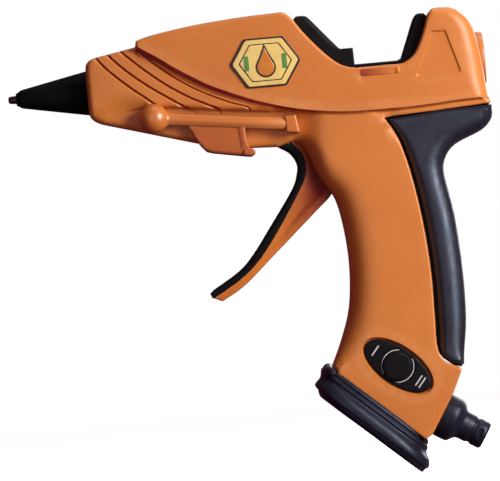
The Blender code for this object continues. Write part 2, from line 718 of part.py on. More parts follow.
def make_stand():
    """One moulding: an arm on each side, joined by a band under the barrel."""
    sx, sz = STAND_PIVOT
    band = [(69.0, -15.4), (71.4, -18.6), (74.8, -25.0), (77.6, -27.9), (94.0, -31.4), (96.6, -30.6),
            (97.0, -28.8), (94.2, -28.0), (93.4, -20.4), (93.0, -17.6)]
    tab = [(109.6, -17.4), (114.4, -17.0), (115.4, -23.8), (109.8, -22.8)]
    inner = KEEL_HALF + KEEL_CLEARANCE
    stand = slab(band, STAND_ROD_Y + 1.8, 1.4)
    cut(stand, slab(inset(keel_outline(), -KEEL_CLEARANCE), inner))
    cut(stand, box(60.0, 100.0, -inner, inner, -20.0, 0.0))
    for side in (-1, 1):
        join(stand, rod(0.0, STAND_ROD_LENGTH, STAND_ROD_R, STAND_LEAN, side * STAND_ROD_Y, 16, STAND_PIVOT))
        join(stand, prism(tab, *sorted((side * 13.3, side * 19.2))))
        join(stand, ball(sx, side * STAND_BALL_Y, sz, STAND_BALL_R))
        join(stand, cross_rod(sx, sz, STAND_PIN_R, *sorted((side * 8.6, side * 16.0))))
    pivoted(named(stand, "stand", "orange_plastic"), *STAND_PIVOT)


# ---------------------------------------------------------------- foot, dial, gland, badges

def oblong(s0, s1, half, t, count=40):
    """A rounded oblong from s0 to s1 along the sole, at the height t above it."""
    ring = []
    for i in range(count):
        a = 2 * math.pi * (i + 0.5) / count
        ahead = math.copysign(abs(math.cos(a)) ** FOOT_CORNER_POWER, math.cos(a))
        across = math.copysign(abs(math.sin(a)) ** FOOT_CORNER_POWER, math.sin(a))
        x, z = sole_frame((s0 + s1) / 2 + (s1 - s0) / 2 * ahead, t)
        ring.append((x, half * across, z))
    return ring


def make_foot():
    """Rounded-oblong sections stacked square to the sole, as (front, rear, half width, height)."""
    base = [(-3.2, 51.6, FOOT_HALF, 2.4), (-3.7, 50.7, FOOT_HALF - 0.4, 5.4),
            (-5.0, 48.4, FOOT_HALF - 1.8, 7.4), (-5.7, 46.8, FOOT_HALF - 2.8, 9.4),
            (-4.8, 45.2, FOOT_HALF - 3.8, FOOT_HEIGHT)]
    named(loft([oblong(*section) for section in base]), "foot_base", "black_plastic")
    sole = [(0.0, SOLE_LENGTH, FOOT_HALF - 1.6, 0.0), (-2.4, 51.6, FOOT_HALF - 0.3, 2.1)]
    named(loft([oblong(*section) for section in sole]), "foot_sole", "black_rubber")


def make_dial():
    dx, dz = DIAL_CENTRE
    plate = prism(ellipse(DIAL_CENTRE, DIAL_LONG, DIAL_SHORT, DIAL_ANGLE, 32), DIAL_FACE_Y, DIAL_BACK_Y)
    cut(plate, cross_rod(dx, dz, KNOB_STEM_R + 0.4, -20.0, -10.0))
    named(plate, "dial_plate", "black_plastic")
    knob = cross_rod(dx, dz, KNOB_R, KNOB_FACE_Y, DIAL_FACE_Y - GAP)
    join(knob, cross_rod(dx, dz, KNOB_STEM_R, KNOB_FACE_Y + 1.0, -12.6, 20))
    pivoted(named(knob, "dial_knob", "black_plastic"), dx, dz, KNOB_FACE_Y)
    switch = box(dx - 7.0, dx + 7.0, -12.3, -4.0, dz - 5.0, dz + 5.0)
    named(switch, "temperature_switch", "ceramic")


def make_gland():
    profile = [(-7.0, CORD_BORE_R), (19.8, CORD_BORE_R), (19.8, GLAND_NECK_R - 0.6), (18.8, GLAND_NECK_R),
               (9.6, GLAND_NECK_R), (6.6, GLAND_FLANGE_R - 0.6), (5.4, GLAND_FLANGE_R), (GAP, GLAND_FLANGE_R),
               (GAP, GLAND_NECK_R), (-7.0, GLAND_NECK_R)]
    named(turned(profile, GLAND_BASE, GLAND_ANGLE, count=20), "cord_gland", "black_rubber")


def make_badges():
    """A plain six-sided plate on each side of the panel."""
    x, z = 104.0, 5.6
    corners = [(x - 14.2, z), (x - 7.7, z + 9.9), (x + 7.7, z + 9.9), (x + 14.2, z), (x + 7.7, z - 9.9),
               (x - 7.7, z - 9.9)]
    low, high = PANEL_HALF + GAP, PANEL_HALF + 1.1
    named(prism(corners, -high, -low), "left_badge", "cream_print")
    named(prism(corners, low, high), "right_badge", "cream_print")


# ---------------------------------------------------------------- screws and wiring

def make_screws():
    seat = SCREW_SEAT_Y + GAP
    for i, (x, z) in enumerate(SCREWS, 1):
        screw = cross_rod(x, z, SCREW_SHANK_R, -8.4, seat + 0.7, 8)
        join(screw, cross_rod(x, z, SCREW_HEAD_R, seat, seat + 1.9, 12))
        cut(screw, box(x - 2.2, x + 2.2, seat + 0.9, seat + 4.0, z - 0.4, z + 0.4))
        named(screw, f"housing_screw_{i}", "steel")


def make_wiring():
    named(box(141.0, 153.0, -6.0, 6.0, -92.0, -85.0), "terminal_block", "ceramic")
    named(box(150.0, 153.5, -7.0, 7.0, -136.0, -128.0), "cord_clamp", "black_plastic")
    half_route = [(150.0, 8.0, -84.2), (153.6, 10.0, -66.0), (153.2, 10.6, -48.0), (145.0, 11.0, -32.0),
                  (126.0, 12.0, -14.6), (108.0, 12.4, -8.0), (92.0, 12.6, -6.4), (86.0, 10.0, -8.6)]
    for name, side in (("left_lead", -1), ("right_lead", 1)):
        wire(name, smooth([(x, side * y, z) for x, y, z in half_route], 2), 0.9, "wire_jacket")


def main():
    for old in list(bpy.data.objects):
        bpy.data.objects.remove(old)
    make_housing()
    make_grips()
    make_saddle_guide()
    make_inlet_collar()
    make_nozzle()
    make_melt_chamber()
    make_inlet_sleeve()
    make_trigger()
    make_carriage()
    make_stand()
    make_foot()
    make_dial()
    make_gland()
    make_badges()
    make_screws()
    make_wiring()
    gun = bpy.data.objects.new("glue_gun", None)
    bpy.context.scene.collection.objects.link(gun)
    carry(gun, *[piece for piece in bpy.data.objects if piece is not gun and piece.parent is None])


main()
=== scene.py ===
"""The glue gun's looks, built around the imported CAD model.

Sizes are millimetres in the gun's own side view, as in the CAD: U runs along the glue stick from the nozzle
tip to the rear, W is up from the stick's axis and Y is across, with the left-hand side at -Y.
"""

import math

import bmesh
import bpy
import numpy as np
from mathutils import Matrix, Vector, geometry, kdtree


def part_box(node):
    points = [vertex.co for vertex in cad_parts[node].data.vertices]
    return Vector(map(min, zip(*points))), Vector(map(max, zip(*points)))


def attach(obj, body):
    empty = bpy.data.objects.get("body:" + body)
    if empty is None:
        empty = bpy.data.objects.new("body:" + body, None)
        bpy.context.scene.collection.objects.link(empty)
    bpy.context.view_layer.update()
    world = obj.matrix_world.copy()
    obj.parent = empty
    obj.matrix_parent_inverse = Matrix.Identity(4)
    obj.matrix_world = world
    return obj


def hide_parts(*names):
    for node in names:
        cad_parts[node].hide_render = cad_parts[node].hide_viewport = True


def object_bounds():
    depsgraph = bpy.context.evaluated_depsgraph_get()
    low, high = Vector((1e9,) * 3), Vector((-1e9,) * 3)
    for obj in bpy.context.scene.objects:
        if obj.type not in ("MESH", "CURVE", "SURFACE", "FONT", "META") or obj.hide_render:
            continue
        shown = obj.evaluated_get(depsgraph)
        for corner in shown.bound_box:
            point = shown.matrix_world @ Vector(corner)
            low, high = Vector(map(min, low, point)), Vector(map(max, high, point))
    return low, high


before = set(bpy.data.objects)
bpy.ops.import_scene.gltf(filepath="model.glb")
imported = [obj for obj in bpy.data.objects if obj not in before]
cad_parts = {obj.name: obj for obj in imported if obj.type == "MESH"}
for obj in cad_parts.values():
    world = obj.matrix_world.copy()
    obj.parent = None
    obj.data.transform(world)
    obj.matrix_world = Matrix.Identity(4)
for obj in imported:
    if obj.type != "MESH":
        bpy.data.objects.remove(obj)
CAD_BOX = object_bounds()

MM = 0.001
LEFT, RIGHT = -1, 1
SIDES = {LEFT: "left", RIGHT: "right"}
TIP_LOW, TIP_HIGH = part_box("nozzle_tip")
AXIS_Z = (TIP_LOW.z + TIP_HIGH.z) / 2

# Half widths of the body's faces, the shells' wall, the gap at their parting line, the least thickness of a
# plate and half the width of the groove's dark floor beside the rubber
PANEL_HALF = 18.7
BODY_HALF = 17.5
NOSE_HALF = 15.9
KEEL_HALF = 12.5
GRIP_HALF = 17.4
WALL = 2.4
PARTING = 0.08
THINNEST = 0.05
BED_HALF = 2.6

# Places that several pieces share, or that steer a whole piece
SOLE_ANGLE = math.radians(41.8)
SOLE_FRONT = (113.5, -129.3)
SOLE_LENGTH = 51.4
FOOT_HEIGHT = 12.0
GLAND_BASE = (161.8, -141)
GLAND_ANGLE = math.radians(-32.0)
FORK_START, FORK_END = (121.5, -31.0), (126.3, -13.0)
STAND_PIVOT = (57.6, -12.7)
STAND_LEAN = math.atan2(-7, 54)
DIAL_CENTRE = (145.7, -120)
DIAL_ANGLE = math.radians(-39.5)
DIAL_SEAT = (16.5, 8.3)
DIAL_SEAT_SLOPE = 0.8
SCREWS = [(41, 10.2), (88, 18.8), (152, -14.6), (181, 14.4), (147, -52), (140, -98), (163, -128)]
SCREW_SEAT = 11.2
SCREW_WELL_R, SCREW_MOUTH_R = 3.55, 4.2
STICK_BORE_R = 6.3
GUIDE_R = 8.4


def place(u, y, w):
    """A point of the gun's own frame as a point of the model, in metres."""
    return Vector((TIP_LOW.x + u * MM, y * MM, AXIS_Z + w * MM))


def along(angle):
    return np.array((math.cos(angle), math.sin(angle)))


def framed(start, angle, a, b):
    """The side-view point at a along this angle from the start, and b to its left."""
    where = np.array(start) + a * along(angle) + b * along(angle + math.pi / 2)
    return float(where[0]), float(where[1])


def sole_frame(s, t):
    """The side-view point s along the sole from its front end and t above it."""
    return framed(SOLE_FRONT, -SOLE_ANGLE, s, t)


def gland_frame(a, b):
    """The side-view point a out along the gland's axis and b to its left."""
    return framed(GLAND_BASE, GLAND_ANGLE, a, b)


# ---- curves and distances

def smooth(points, steps=4):
    """A Catmull-Rom curve through the points, which it keeps."""
    ends = [points[0]] + list(points) + [points[-1]]
    made = []
    for p0, p1, p2, p3 in zip(ends, ends[1:], ends[2:], ends[3:]):
        for step in range(steps):
            t = step / steps
            made.append(tuple(
                0.5 * (2 * b + (c - a) * t + (2 * a - 5 * b + 4 * c - d) * t**2
                       + (3 * b - a - 3 * c + d) * t**3)
                for a, b, c, d in zip(p0, p1, p2, p3)
            ))
    return made + [tuple(points[-1])]


def spaced(points, gap, closed=False):
    """The line with a point at about every gap, its corners kept and its crowded points dropped."""
    line = np.array(points, float)
    ends = np.roll(line, -1, 0) if closed else line[1:]
    made = []
    for start, end in zip(line, ends):
        count = max(1, round(float(np.linalg.norm(end[:2] - start[:2])) / gap))
        made += [start + (end - start) * i / count for i in range(count)]
    if not closed:
        made.append(line[-1])
    kept = [made[0]]
    for point in made[1:]:
        if np.linalg.norm(point[:2] - kept[-1][:2]) > gap * 0.2:
            kept.append(point)
    if closed and np.linalg.norm(kept[-1][:2] - kept[0][:2]) <= gap * 0.2:
        kept.pop()
    return np.array(kept)


def nearest(spots, line, closed):
    """How far each spot is from the line, and where on it the nearest point is, counted in corners."""
    starts = line if closed else line[:-1]
    runs = (np.roll(line, -1, 0) if closed else line[1:]) - starts
    lengths = np.maximum((runs**2).sum(1), 1e-12)
    far, where = [], []
    for block in np.array_split(spots, max(1, len(spots) // 1500)):
        away = block[:, None, :] - starts[None]
        share = np.clip((away * runs[None]).sum(2) / lengths, 0, 1)
        gaps = np.linalg.norm(away - share[..., None] * runs[None], axis=2)
        best = gaps.argmin(1)
        rows = np.arange(len(block))
        far.append(gaps[rows, best])
        where.append(best + share[rows, best])
    return np.concatenate(far), np.concatenate(where)


def normals(line):
    """The line's unit normals at its points, to its left."""
    ahead = np.gradient(line, axis=0)
    return np.stack((-ahead[:, 1], ahead[:, 0]), 1) / np.hypot(*ahead.T)[:, None]


def inside(spots, outline):
    """Which spots the closed outline goes round."""
    x, y = spots[:, 0], spots[:, 1]
    odd = np.zeros(len(spots), bool)
    for (x0, y0), (x1, y1) in zip(outline, np.roll(outline, -1, 0)):
        if y0 != y1:
            odd ^= ((y0 > y) != (y1 > y)) & (x < x0 + (y - y0) * (x1 - x0) / (y1 - y0))
    return odd


def depth_in(spots, outline):
    """How far each spot is inside the closed outline, negative outside it."""
    outline = np.array(outline, float)
    far, _ = nearest(spots, outline, True)
    return np.where(inside(spots, outline), far, -far)


def ramp(values, width):
    """0 up to 0, then straight up to 1 at the width."""
    return np.clip(values / width, 0, 1)


def ellipse(centre, long, short, angle, count=64):
    turns = [2 * math.pi * i / count for i in range(count)]
    return [framed(centre, angle, long * math.cos(a), short * math.sin(a)) for a in turns]


def rounded(corners, radius, steps=5):
    """The closed polygon with every corner rounded."""
    made = []
    corners = [np.array(c, float) for c in corners]
    for i, here in enumerate(corners):
        back = corners[i - 1] - here
        ahead = corners[(i + 1) % len(corners)] - here
        back = back / np.linalg.norm(back)
        ahead = ahead / np.linalg.norm(ahead)
        reach = radius / math.tan(math.acos(float(np.clip(back @ ahead, -1, 1))) / 2)
        for step in range(steps + 1):
            t = step / steps
            spot = (1 - t)**2 * (here + reach * back) + 2 * t * (1 - t) * here + t**2 * (here + reach * ahead)
            made.append(tuple(spot))
    return made


def with_rim(points, rim):
    """The outline's points with the radius of its rounded rim."""
    return [(u, w, rim) for u, w in points]


# ---- making meshes

def linked(name, data):
    """A new object in the scene, with this mesh, lamp or camera."""
    made = bpy.data.objects.new(name, data)
    bpy.context.scene.collection.objects.link(made)
    return made


def shaped(name, points, faces, sharp=32):
    """An object with its faces pointing out, smooth except at edges sharper than this, in degrees."""
    mesh = bpy.data.meshes.new(name)
    mesh.from_pydata([tuple(p) for p in points], [], [tuple(f) for f in faces])
    bm = bmesh.new()
    bm.from_mesh(mesh)
    bmesh.ops.remove_doubles(bm, verts=bm.verts, dist=1e-3 * MM)
    bmesh.ops.recalc_face_normals(bm, faces=bm.faces)
    bm.to_mesh(mesh)
    bm.free()
    mesh.shade_smooth()
    mesh.set_sharp_from_angle(angle=math.radians(sharp))
    return linked(name, mesh)


def rim_rings(outline, rims, steps):
    """Points inside the outline, ring by ring, where its rounded rim needs them."""
    ahead = np.roll(outline, -1, 0) - outline
    ahead = ahead / np.linalg.norm(ahead, axis=1)[:, None]
    run = ahead + np.roll(ahead, 1, 0)
    run = run / np.maximum(np.linalg.norm(run, axis=1), 1e-6)[:, None]
    inward = np.stack((-run[:, 1], run[:, 0]), 1)
    rings = []
    for step in range(1, steps + 1):
        reach = rims * (1 - math.cos(math.pi / 2 * step / steps))
        ring = outline + inward * reach[:, None]
        far, _ = nearest(ring, outline, True)
        rings.append(ring[(far > reach * 0.98 - 1e-4) & inside(ring, outline)])
    return rings


def filling(outline, rims, taken, pitch):
    """A staggered grid over the outline's inside, clear of the rim and of the points that are taken."""
    (u0, w0), (u1, w1) = outline.min(0), outline.max(0)
    rows = enumerate(np.arange(w0, w1, pitch * 0.87))
    grid = np.array([(u + i % 2 * pitch / 2, w) for i, w in rows for u in np.arange(u0, u1, pitch)])
    far, where = nearest(grid, outline, True)
    grid = grid[(far > rims[where.astype(int) % len(rims)] + pitch * 0.3) & inside(grid, outline)]
    tree = kdtree.KDTree(len(taken))
    for i, (u, w) in enumerate(taken):
        tree.insert((u, w, 0), i)
    tree.balance()
    return [tuple(g) for g in grid if tree.find((g[0], g[1], 0))[2] > pitch * 0.55]


def skin(count, triangles):
    """The triangles of both faces of a plate, and the wall round them."""
    wall = {}
    for t in triangles:
        for a, b in zip(t, list(t[1:]) + [t[0]]):
            if (b, a) in wall:
                del wall[(b, a)]
            else:
                wall[(a, b)] = (b, a, count + a, count + b)
    back = [tuple(count + i for i in reversed(t)) for t in triangles]
    return [tuple(t) for t in triangles] + back + list(wall.values())


def relief(name, edge, top, floor=None, lines=(), side=LEFT, pitch=2.6, gap=1.0, steps=6):
    """A closed plate inside the edge line, whose points are (u, w, radius of the rounded rim).

    The outer face's distance from the middle plane, before the rim is rounded off, is top or top(spots). The
    inner face's is floor or floor(spots, depth, high). Without a floor the plate is the same on both sides.
    The mesh follows the lines.
    """
    edge = spaced(edge, gap, True)
    turn = edge[:, 0] @ np.roll(edge[:, 1], -1) - edge[:, 1] @ np.roll(edge[:, 0], -1)
    edge = edge if turn > 0 else edge[::-1]
    outline, rims = edge[:, :2], edge[:, 2]
    spots = [outline] + rim_rings(outline, rims, steps)
    ties = []
    for line in lines:
        start = sum(len(s) for s in spots)
        points = np.array([p[:2] for p in line], float)
        ties += [(start + i, start + i + 1) for i in range(len(points) - 1)]
        spots.append(points)
    grid = filling(outline, rims, np.concatenate(spots), pitch)
    flat = [Vector(p) for p in np.concatenate(spots + ([np.array(grid)] if grid else []))]
    found = geometry.delaunay_2d_cdt(flat, ties, [list(range(len(outline)))], 1, 1e-4)
    flat = np.array([tuple(v) for v in found[0]])
    depth, where = nearest(flat, outline, True)
    first = where.astype(int) % len(rims)
    share = where % 1.0
    rim = np.maximum(rims[first] * (1 - share) + rims[(first + 1) % len(rims)] * share, 1e-3)
    face = top(flat) if callable(top) else top
    high = face - rim + np.sqrt(rim**2 - np.clip(rim - depth, 0, None)**2)
    back = floor(flat, depth, high) if callable(floor) else floor
    low = -high if back is None else np.minimum(back, high - THINNEST)
    points = [place(u, side * y, w) for (u, w), y in zip(flat, high)]
    points += [place(u, side * y, w) for (u, w), y in zip(flat, low)]
    return shaped(name, points, skin(len(flat), found[2]))


def turned(name, profile, start=(0, 0), angle=0.0, y=0.0, count=72):
    """A solid turned about an axis in the side view, through (distance along, radius) points.

    A profile that begins and ends at radius 0 is solid. Any other profile is a closed ring round a bore.
    """
    points, rings = [], []
    for distance, radius in profile:
        turns = [2 * math.pi * i / count for i in range(count)] if radius > 0 else [0.0]
        rings.append(range(len(points), len(points) + len(turns)))
        for a in turns:
            u, w = framed(start, angle, distance, radius * math.cos(a))
            points.append(place(u, y + radius * math.sin(a), w))
    pairs = list(zip(rings, rings[1:]))
    if profile[0][1] > 0:
        pairs.append((rings[-1], rings[0]))
    faces = []
    for low, high in pairs:
        for i in range(count):
            corners = [low[i % len(low)], low[(i + 1) % len(low)], high[(i + 1) % len(high)],
                high[i % len(high)]]
            faces.append(tuple(dict.fromkeys(corners)))
    return shaped(name, points, faces)


def lofted(name, rings, sharp=32):
    """A closed solid through rings of points (u, y, w)."""
    size = len(rings[0])
    points = [place(*p) for ring in rings for p in ring]
    faces = []
    for k in range(len(rings) - 1):
        for i in range(size):
            j = (i + 1) % size
            faces.append((k * size + i, k * size + j, (k + 1) * size + j, (k + 1) * size + i))
    faces += [tuple(range(size)), tuple(range(len(points) - size, len(points)))]
    return shaped(name, points, faces, sharp)


def cut(target, cutter):
    """Takes the cutter out of the target with an EXACT Boolean, which uses the cutter up."""
    step = target.modifiers.new("step", "BOOLEAN")
    step.operation = "DIFFERENCE"
    step.solver = "EXACT"
    step.object = cutter
    result = bpy.data.meshes.new_from_object(target.evaluated_get(bpy.context.evaluated_depsgraph_get()))
    target.modifiers.clear()
    target.data = result
    bpy.data.objects.remove(cutter)


# ---- materials

# The mould's spark texture: its noise settings, and its depth in metres
SPARK = (2600, 2)
SPARK_DEPTH = 0.00006


class Nodes:
    """One material's node tree, with short ways to add to it."""

    def __init__(self, name):
        self.material = bpy.data.materials.new(name)
        self.material.use_nodes = True
        self.tree = self.material.node_tree
        self.shader = self.tree.nodes["Principled BSDF"]
        self.spot = self.add("ShaderNodeTexCoord").outputs["Object"]

    def add(self, kind, **settings):
        node = self.tree.nodes.new(kind)
        for key, value in settings.items():
            setattr(node, key, value)
        return node

    def link(self, source, target):
        self.tree.links.new(source, target)

    def noise(self, scale, detail=4.0, roughness=0.55):
        """Noise of about scale grains to the metre."""
        node = self.add("ShaderNodeTexNoise")
        node.inputs["Scale"].default_value = scale
        node.inputs["Detail"].default_value = detail
        node.inputs["Roughness"].default_value = roughness
        self.link(self.spot, node.inputs["Vector"])
        return node.outputs["Fac"]

    def spread(self, source, low=0.0, high=1.0, start=0.3, end=0.7):
        """The source's range from start to end, as low to high."""
        node = self.add("ShaderNodeMapRange")
        for key, value in (("From Min", start), ("From Max", end), ("To Min", low), ("To Max", high)):
            node.inputs[key].default_value = value
        self.link(source, node.inputs["Value"])
        return node.outputs["Result"]

    def blend(self, factor, first, second):
        """The second colour over the first, by the factor. Either may be a colour or an output."""
        node = self.add("ShaderNodeMix", data_type="RGBA")
        self.link(factor, node.inputs["Factor"])
        for socket, value in ((node.inputs["A"], first), (node.inputs["B"], second)):
            sockets = [s for s in node.inputs if s.name == socket.name and s.type == "RGBA"]
            if isinstance(value, tuple):
                sockets[0].default_value = (*value, 1.0)
            else:
                self.link(value, sockets[0])
        return [s for s in node.outputs if s.type == "RGBA"][0]

    def bump(self, *heights):
        """Stacks bumps, each (height output, strength, distance in metres)."""
        last = None
        for height, strength, distance in heights:
            node = self.add("ShaderNodeBump")
            node.inputs["Strength"].default_value = strength
            node.inputs["Distance"].default_value = distance
            self.link(height, node.inputs["Height"])
            if last:
                self.link(last, node.inputs["Normal"])
            last = node.outputs["Normal"]
        self.link(last, self.shader.inputs["Normal"])

    def along_u(self, first, last):
        """0 up to the first U, then straight up to 1 at the last."""
        parts = self.add("ShaderNodeSeparateXYZ")
        self.link(self.spot, parts.inputs["Vector"])
        return self.spread(parts.outputs["X"], start=TIP_LOW.x + first * MM, end=TIP_LOW.x + last * MM)

    def mottle(self, scale, colour, shade):
        """The base colour, with patches of a second one."""
        self.colour(self.blend(self.spread(self.noise(scale)), colour, shade))

    def set(self, **values):
        for key, value in values.items():
            self.shader.inputs[key.replace("_", " ")].default_value = value

    def colour(self, source):
        self.link(source, self.shader.inputs["Base Color"])

    def rough(self, low, high, *noise):
        """The roughness, spread from low to high by noise with these settings."""
        self.link(self.spread(self.noise(*noise), low, high), self.shader.inputs["Roughness"])


def moulded(name, colour, shade, worn_and_highlit, rough=(0.36, 0.5), grain=0.35, specular=0.5, deep=None):
    """Moulded plastic: a spark texture, soft blotches, convex edges paler as wear and as a painted highlight,
    and, when deep is given, a painted shade towards the rear.
    """
    made = Nodes(name)
    blotch = made.noise(38.0)
    base = made.blend(made.spread(blotch), colour, shade)
    if deep:
        # Painted shade: a deep colour that grows to the rear, from U 102 to 121, where the handle shadows the
        # lever
        base = made.blend(made.along_u(102, 121), base, deep)
    bright = tuple(min(1.0, c * 1.5) for c in colour)
    speck = made.blend(made.spread(made.noise(900, 2), 0.0, 0.02 if deep else 0.10), base, bright)
    # Convex edges turn paler: partly wear, partly a painted highlight
    pointed = made.add("ShaderNodeNewGeometry").outputs["Pointiness"]
    made.colour(made.blend(made.spread(pointed, 0.0, 0.4, 0.51, 0.60), speck, worn_and_highlit))
    made.rough(*rough, 120.0, 5.0, 0.65)
    made.bump((made.noise(*SPARK), grain, SPARK_DEPTH), (blotch, 0.10, 0.0004))
    made.set(Specular_IOR_Level=specular)
    return made.material


def painted_shade(name, deep, shallow, front=95.0, rear=150.0):
    """Painted shade in grooves and under edges: a deep colour at the front that pales towards the rear."""
    made = Nodes(name)
    base = made.blend(made.along_u(front, rear), deep, shallow)
    patch = made.spread(made.noise(90.0), 0.8, 1.0)
    made.colour(made.blend(made.spread(patch, 0.0, 0.25, 0.8, 1.0), base, shallow))
    made.rough(0.42, 0.54, 300)
    made.bump((made.noise(*SPARK), 0.3, SPARK_DEPTH))
    made.set(Specular_IOR_Level=0.3)
    return made.material


def soft_rubber(name, colour, bloom, rough=(0.42, 0.6), grain=0.5, specular=0.5, sheen=0.12):
    """Overmoulded rubber: fine leathery grain, with a faint bloom that lifts the colour."""
    made = Nodes(name)
    made.colour(made.blend(made.spread(made.noise(60, 5, 0.6), 0.0, 0.7), colour, bloom))
    made.rough(*rough, 260.0)
    cells = made.add("ShaderNodeTexVoronoi", feature="SMOOTH_F1")
    cells.inputs["Scale"].default_value = 1500.0
    made.link(made.spot, cells.inputs["Vector"])
    made.bump((cells.outputs["Distance"], grain, 0.00010), (made.noise(3200, 2), grain * 0.6, 0.00005))
    made.set(Sheen_Weight=sheen, Sheen_Roughness=0.4, Sheen_Tint=(0.55, 0.62, 0.85, 1))
    made.set(Specular_IOR_Level=specular, Specular_Tint=(0.70, 0.80, 1, 1))
    return made.material


def worked_metal(name, colour, tint, rough=(0.22, 0.4)):
    """Turned or pressed metal with a fine tooled surface and a heat or oil tint in patches."""
    made = Nodes(name)
    made.mottle(160.0, colour, tint)
    made.rough(*rough, 700.0)
    made.bump((made.noise(2200, 3, 0.6), 0.25, 0.00004))
    made.set(Metallic=1.0)
    return made.material


def printed(name, colour, shade, rough=(0.3, 0.42)):
    """A printed label: an even colour with faint mottling and rubbed gloss."""
    made = Nodes(name)
    made.mottle(240.0, colour, shade)
    made.rough(*rough, 420.0)
    made.bump((made.noise(1800, 2), 0.12, 0.00004))
    made.set(Coat_Weight=0.25, Coat_Roughness=0.2)
    return made.material


ORANGE = moulded("orange_moulding", (0.61, 0.195, 0.033), (0.55, 0.165, 0.027), (0.84, 0.43, 0.19))
TRIM = moulded("trim_moulding", (0.60, 0.175, 0.028), (0.52, 0.145, 0.022), (0.82, 0.38, 0.15), (0.24, 0.36),
    0.25)
# The lever, with the handle's shadow painted on its web as a deep red towards the rear
LEVER = moulded("lever_painted_shade", (0.62, 0.185, 0.028), (0.54, 0.15, 0.022), (0.74, 0.30, 0.10), (0.44, 0.56),
    0.25, 0.2, (0.17, 0.008, 0.010))
ARM = moulded("arm_moulding", (0.60, 0.18, 0.032), (0.53, 0.15, 0.026), (0.82, 0.40, 0.17), (0.30, 0.40),
    0.25, 0.9)
# The stand's band: the orange darkened as painted shade
SHADED_BAND = moulded("band_painted_shade", (0.46, 0.115, 0.024), (0.38, 0.090, 0.018), (0.82, 0.38, 0.15), (0.30, 0.42),
    0.25, 0.4)
# Painted shade on the slope under the panel and on each groove's upper wall: deep red at the front, paler to
# the rear
STEP_SHADE = painted_shade("painted_step_shade", (0.24, 0.012, 0.024), (0.36, 0.085, 0.024))
# Painted shade on the bar below the saddle: deep at its front end, paling to the orange by U 155
SADDLE_BAR_SHADE = painted_shade("saddle_bar_painted_shade", (0.28, 0.035, 0.022), (0.60, 0.19, 0.033), 143.0, 155.0)
COLLAR = moulded("collar_moulding", (0.52, 0.155, 0.026), (0.45, 0.13, 0.020), (0.74, 0.34, 0.13),
    (0.34, 0.46))
BLACK = moulded("black_moulding", (0.004, 0.004, 0.005), (0.007, 0.007, 0.009), (0.02, 0.02, 0.026),
    (0.34, 0.48), 0.3, 0.12)
RUBBER = soft_rubber("grip_rubber", (0.006, 0.007, 0.012), (0.018, 0.021, 0.036), (0.36, 0.52), 0.5, 0.75)
PAD_RUBBER = soft_rubber("pad_rubber", (0.004, 0.004, 0.005), (0.008, 0.008, 0.009), (0.5, 0.66), 0.4, 0.1,
    0.0)
FOOT_RUBBER = soft_rubber("foot_rubber", (0.007, 0.008, 0.015), (0.018, 0.020, 0.036), (0.32, 0.48), 0.35,
    0.32)
SILICONE = soft_rubber("silicone_boot", (0.003, 0.003, 0.0035), (0.006, 0.006, 0.007), (0.55, 0.7), 0.25,
    0.08, 0.0)
STEEL = worked_metal("worked_steel", (0.42, 0.42, 0.43), (0.30, 0.29, 0.28))
HOT_STEEL = worked_metal("heat_dulled_steel", (0.11, 0.105, 0.10), (0.06, 0.05, 0.042), (0.28, 0.45))
CAST = worked_metal("cast_aluminium", (0.62, 0.63, 0.65), (0.48, 0.49, 0.51), (0.4, 0.6))
CERAMIC = printed("insulator", (0.70, 0.67, 0.60), (0.60, 0.56, 0.49), (0.55, 0.7))
CREAM = printed("badge_cream", (0.83, 0.62, 0.20), (0.76, 0.54, 0.15))
INK = printed("badge_ink", (0.008, 0.008, 0.008), (0.016, 0.015, 0.014))
LEAF = printed("badge_green", (0.10, 0.28, 0.06), (0.07, 0.22, 0.04))
AMBER = printed("badge_amber", (0.62, 0.22, 0.02), (0.52, 0.16, 0.015))
MARKING = printed("dial_marking", (0.62, 0.60, 0.60), (0.50, 0.48, 0.50), (0.4, 0.55))
JACKET = printed("wire_jacket", (0.50, 0.03, 0.02), (0.40, 0.02, 0.02), (0.45, 0.55))


def dress(piece, body, slot, material, *nodes):
    """Puts a finished piece on its body, with its material, and hides the CAD nodes that it stands for. The
    slot is not used.
    """
    piece.data.materials.clear()
    piece.data.materials.append(material)
    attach(piece, body)
    if nodes:
        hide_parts(*nodes)
    return piece


# ---- lines of the body

# The lower edge of the raised panel, from the nose to the rear
STEP_START = 53.0
STEP = np.array(smooth([(50.5, 18.4), (53, 16.8), (57.5, 13.9), (62, 10.9), (68, 6.5), (74, 2.7), (80, -0.9),
    (86, -3.8), (96.6, -8.3), (106, -11.5), (116, -14.1), (128, -16.1), (140, -17), (160, -17.1),
    (170, -16.7), (180, -16.1), (190, -16), (196, -16.4)], 5))


def step_width(u):
    """How wide the sloping face below the panel is seen from the side."""
    return np.interp(u, (55, 90, 110, 190), (3.2, 2.5, 1.7, 1.1))


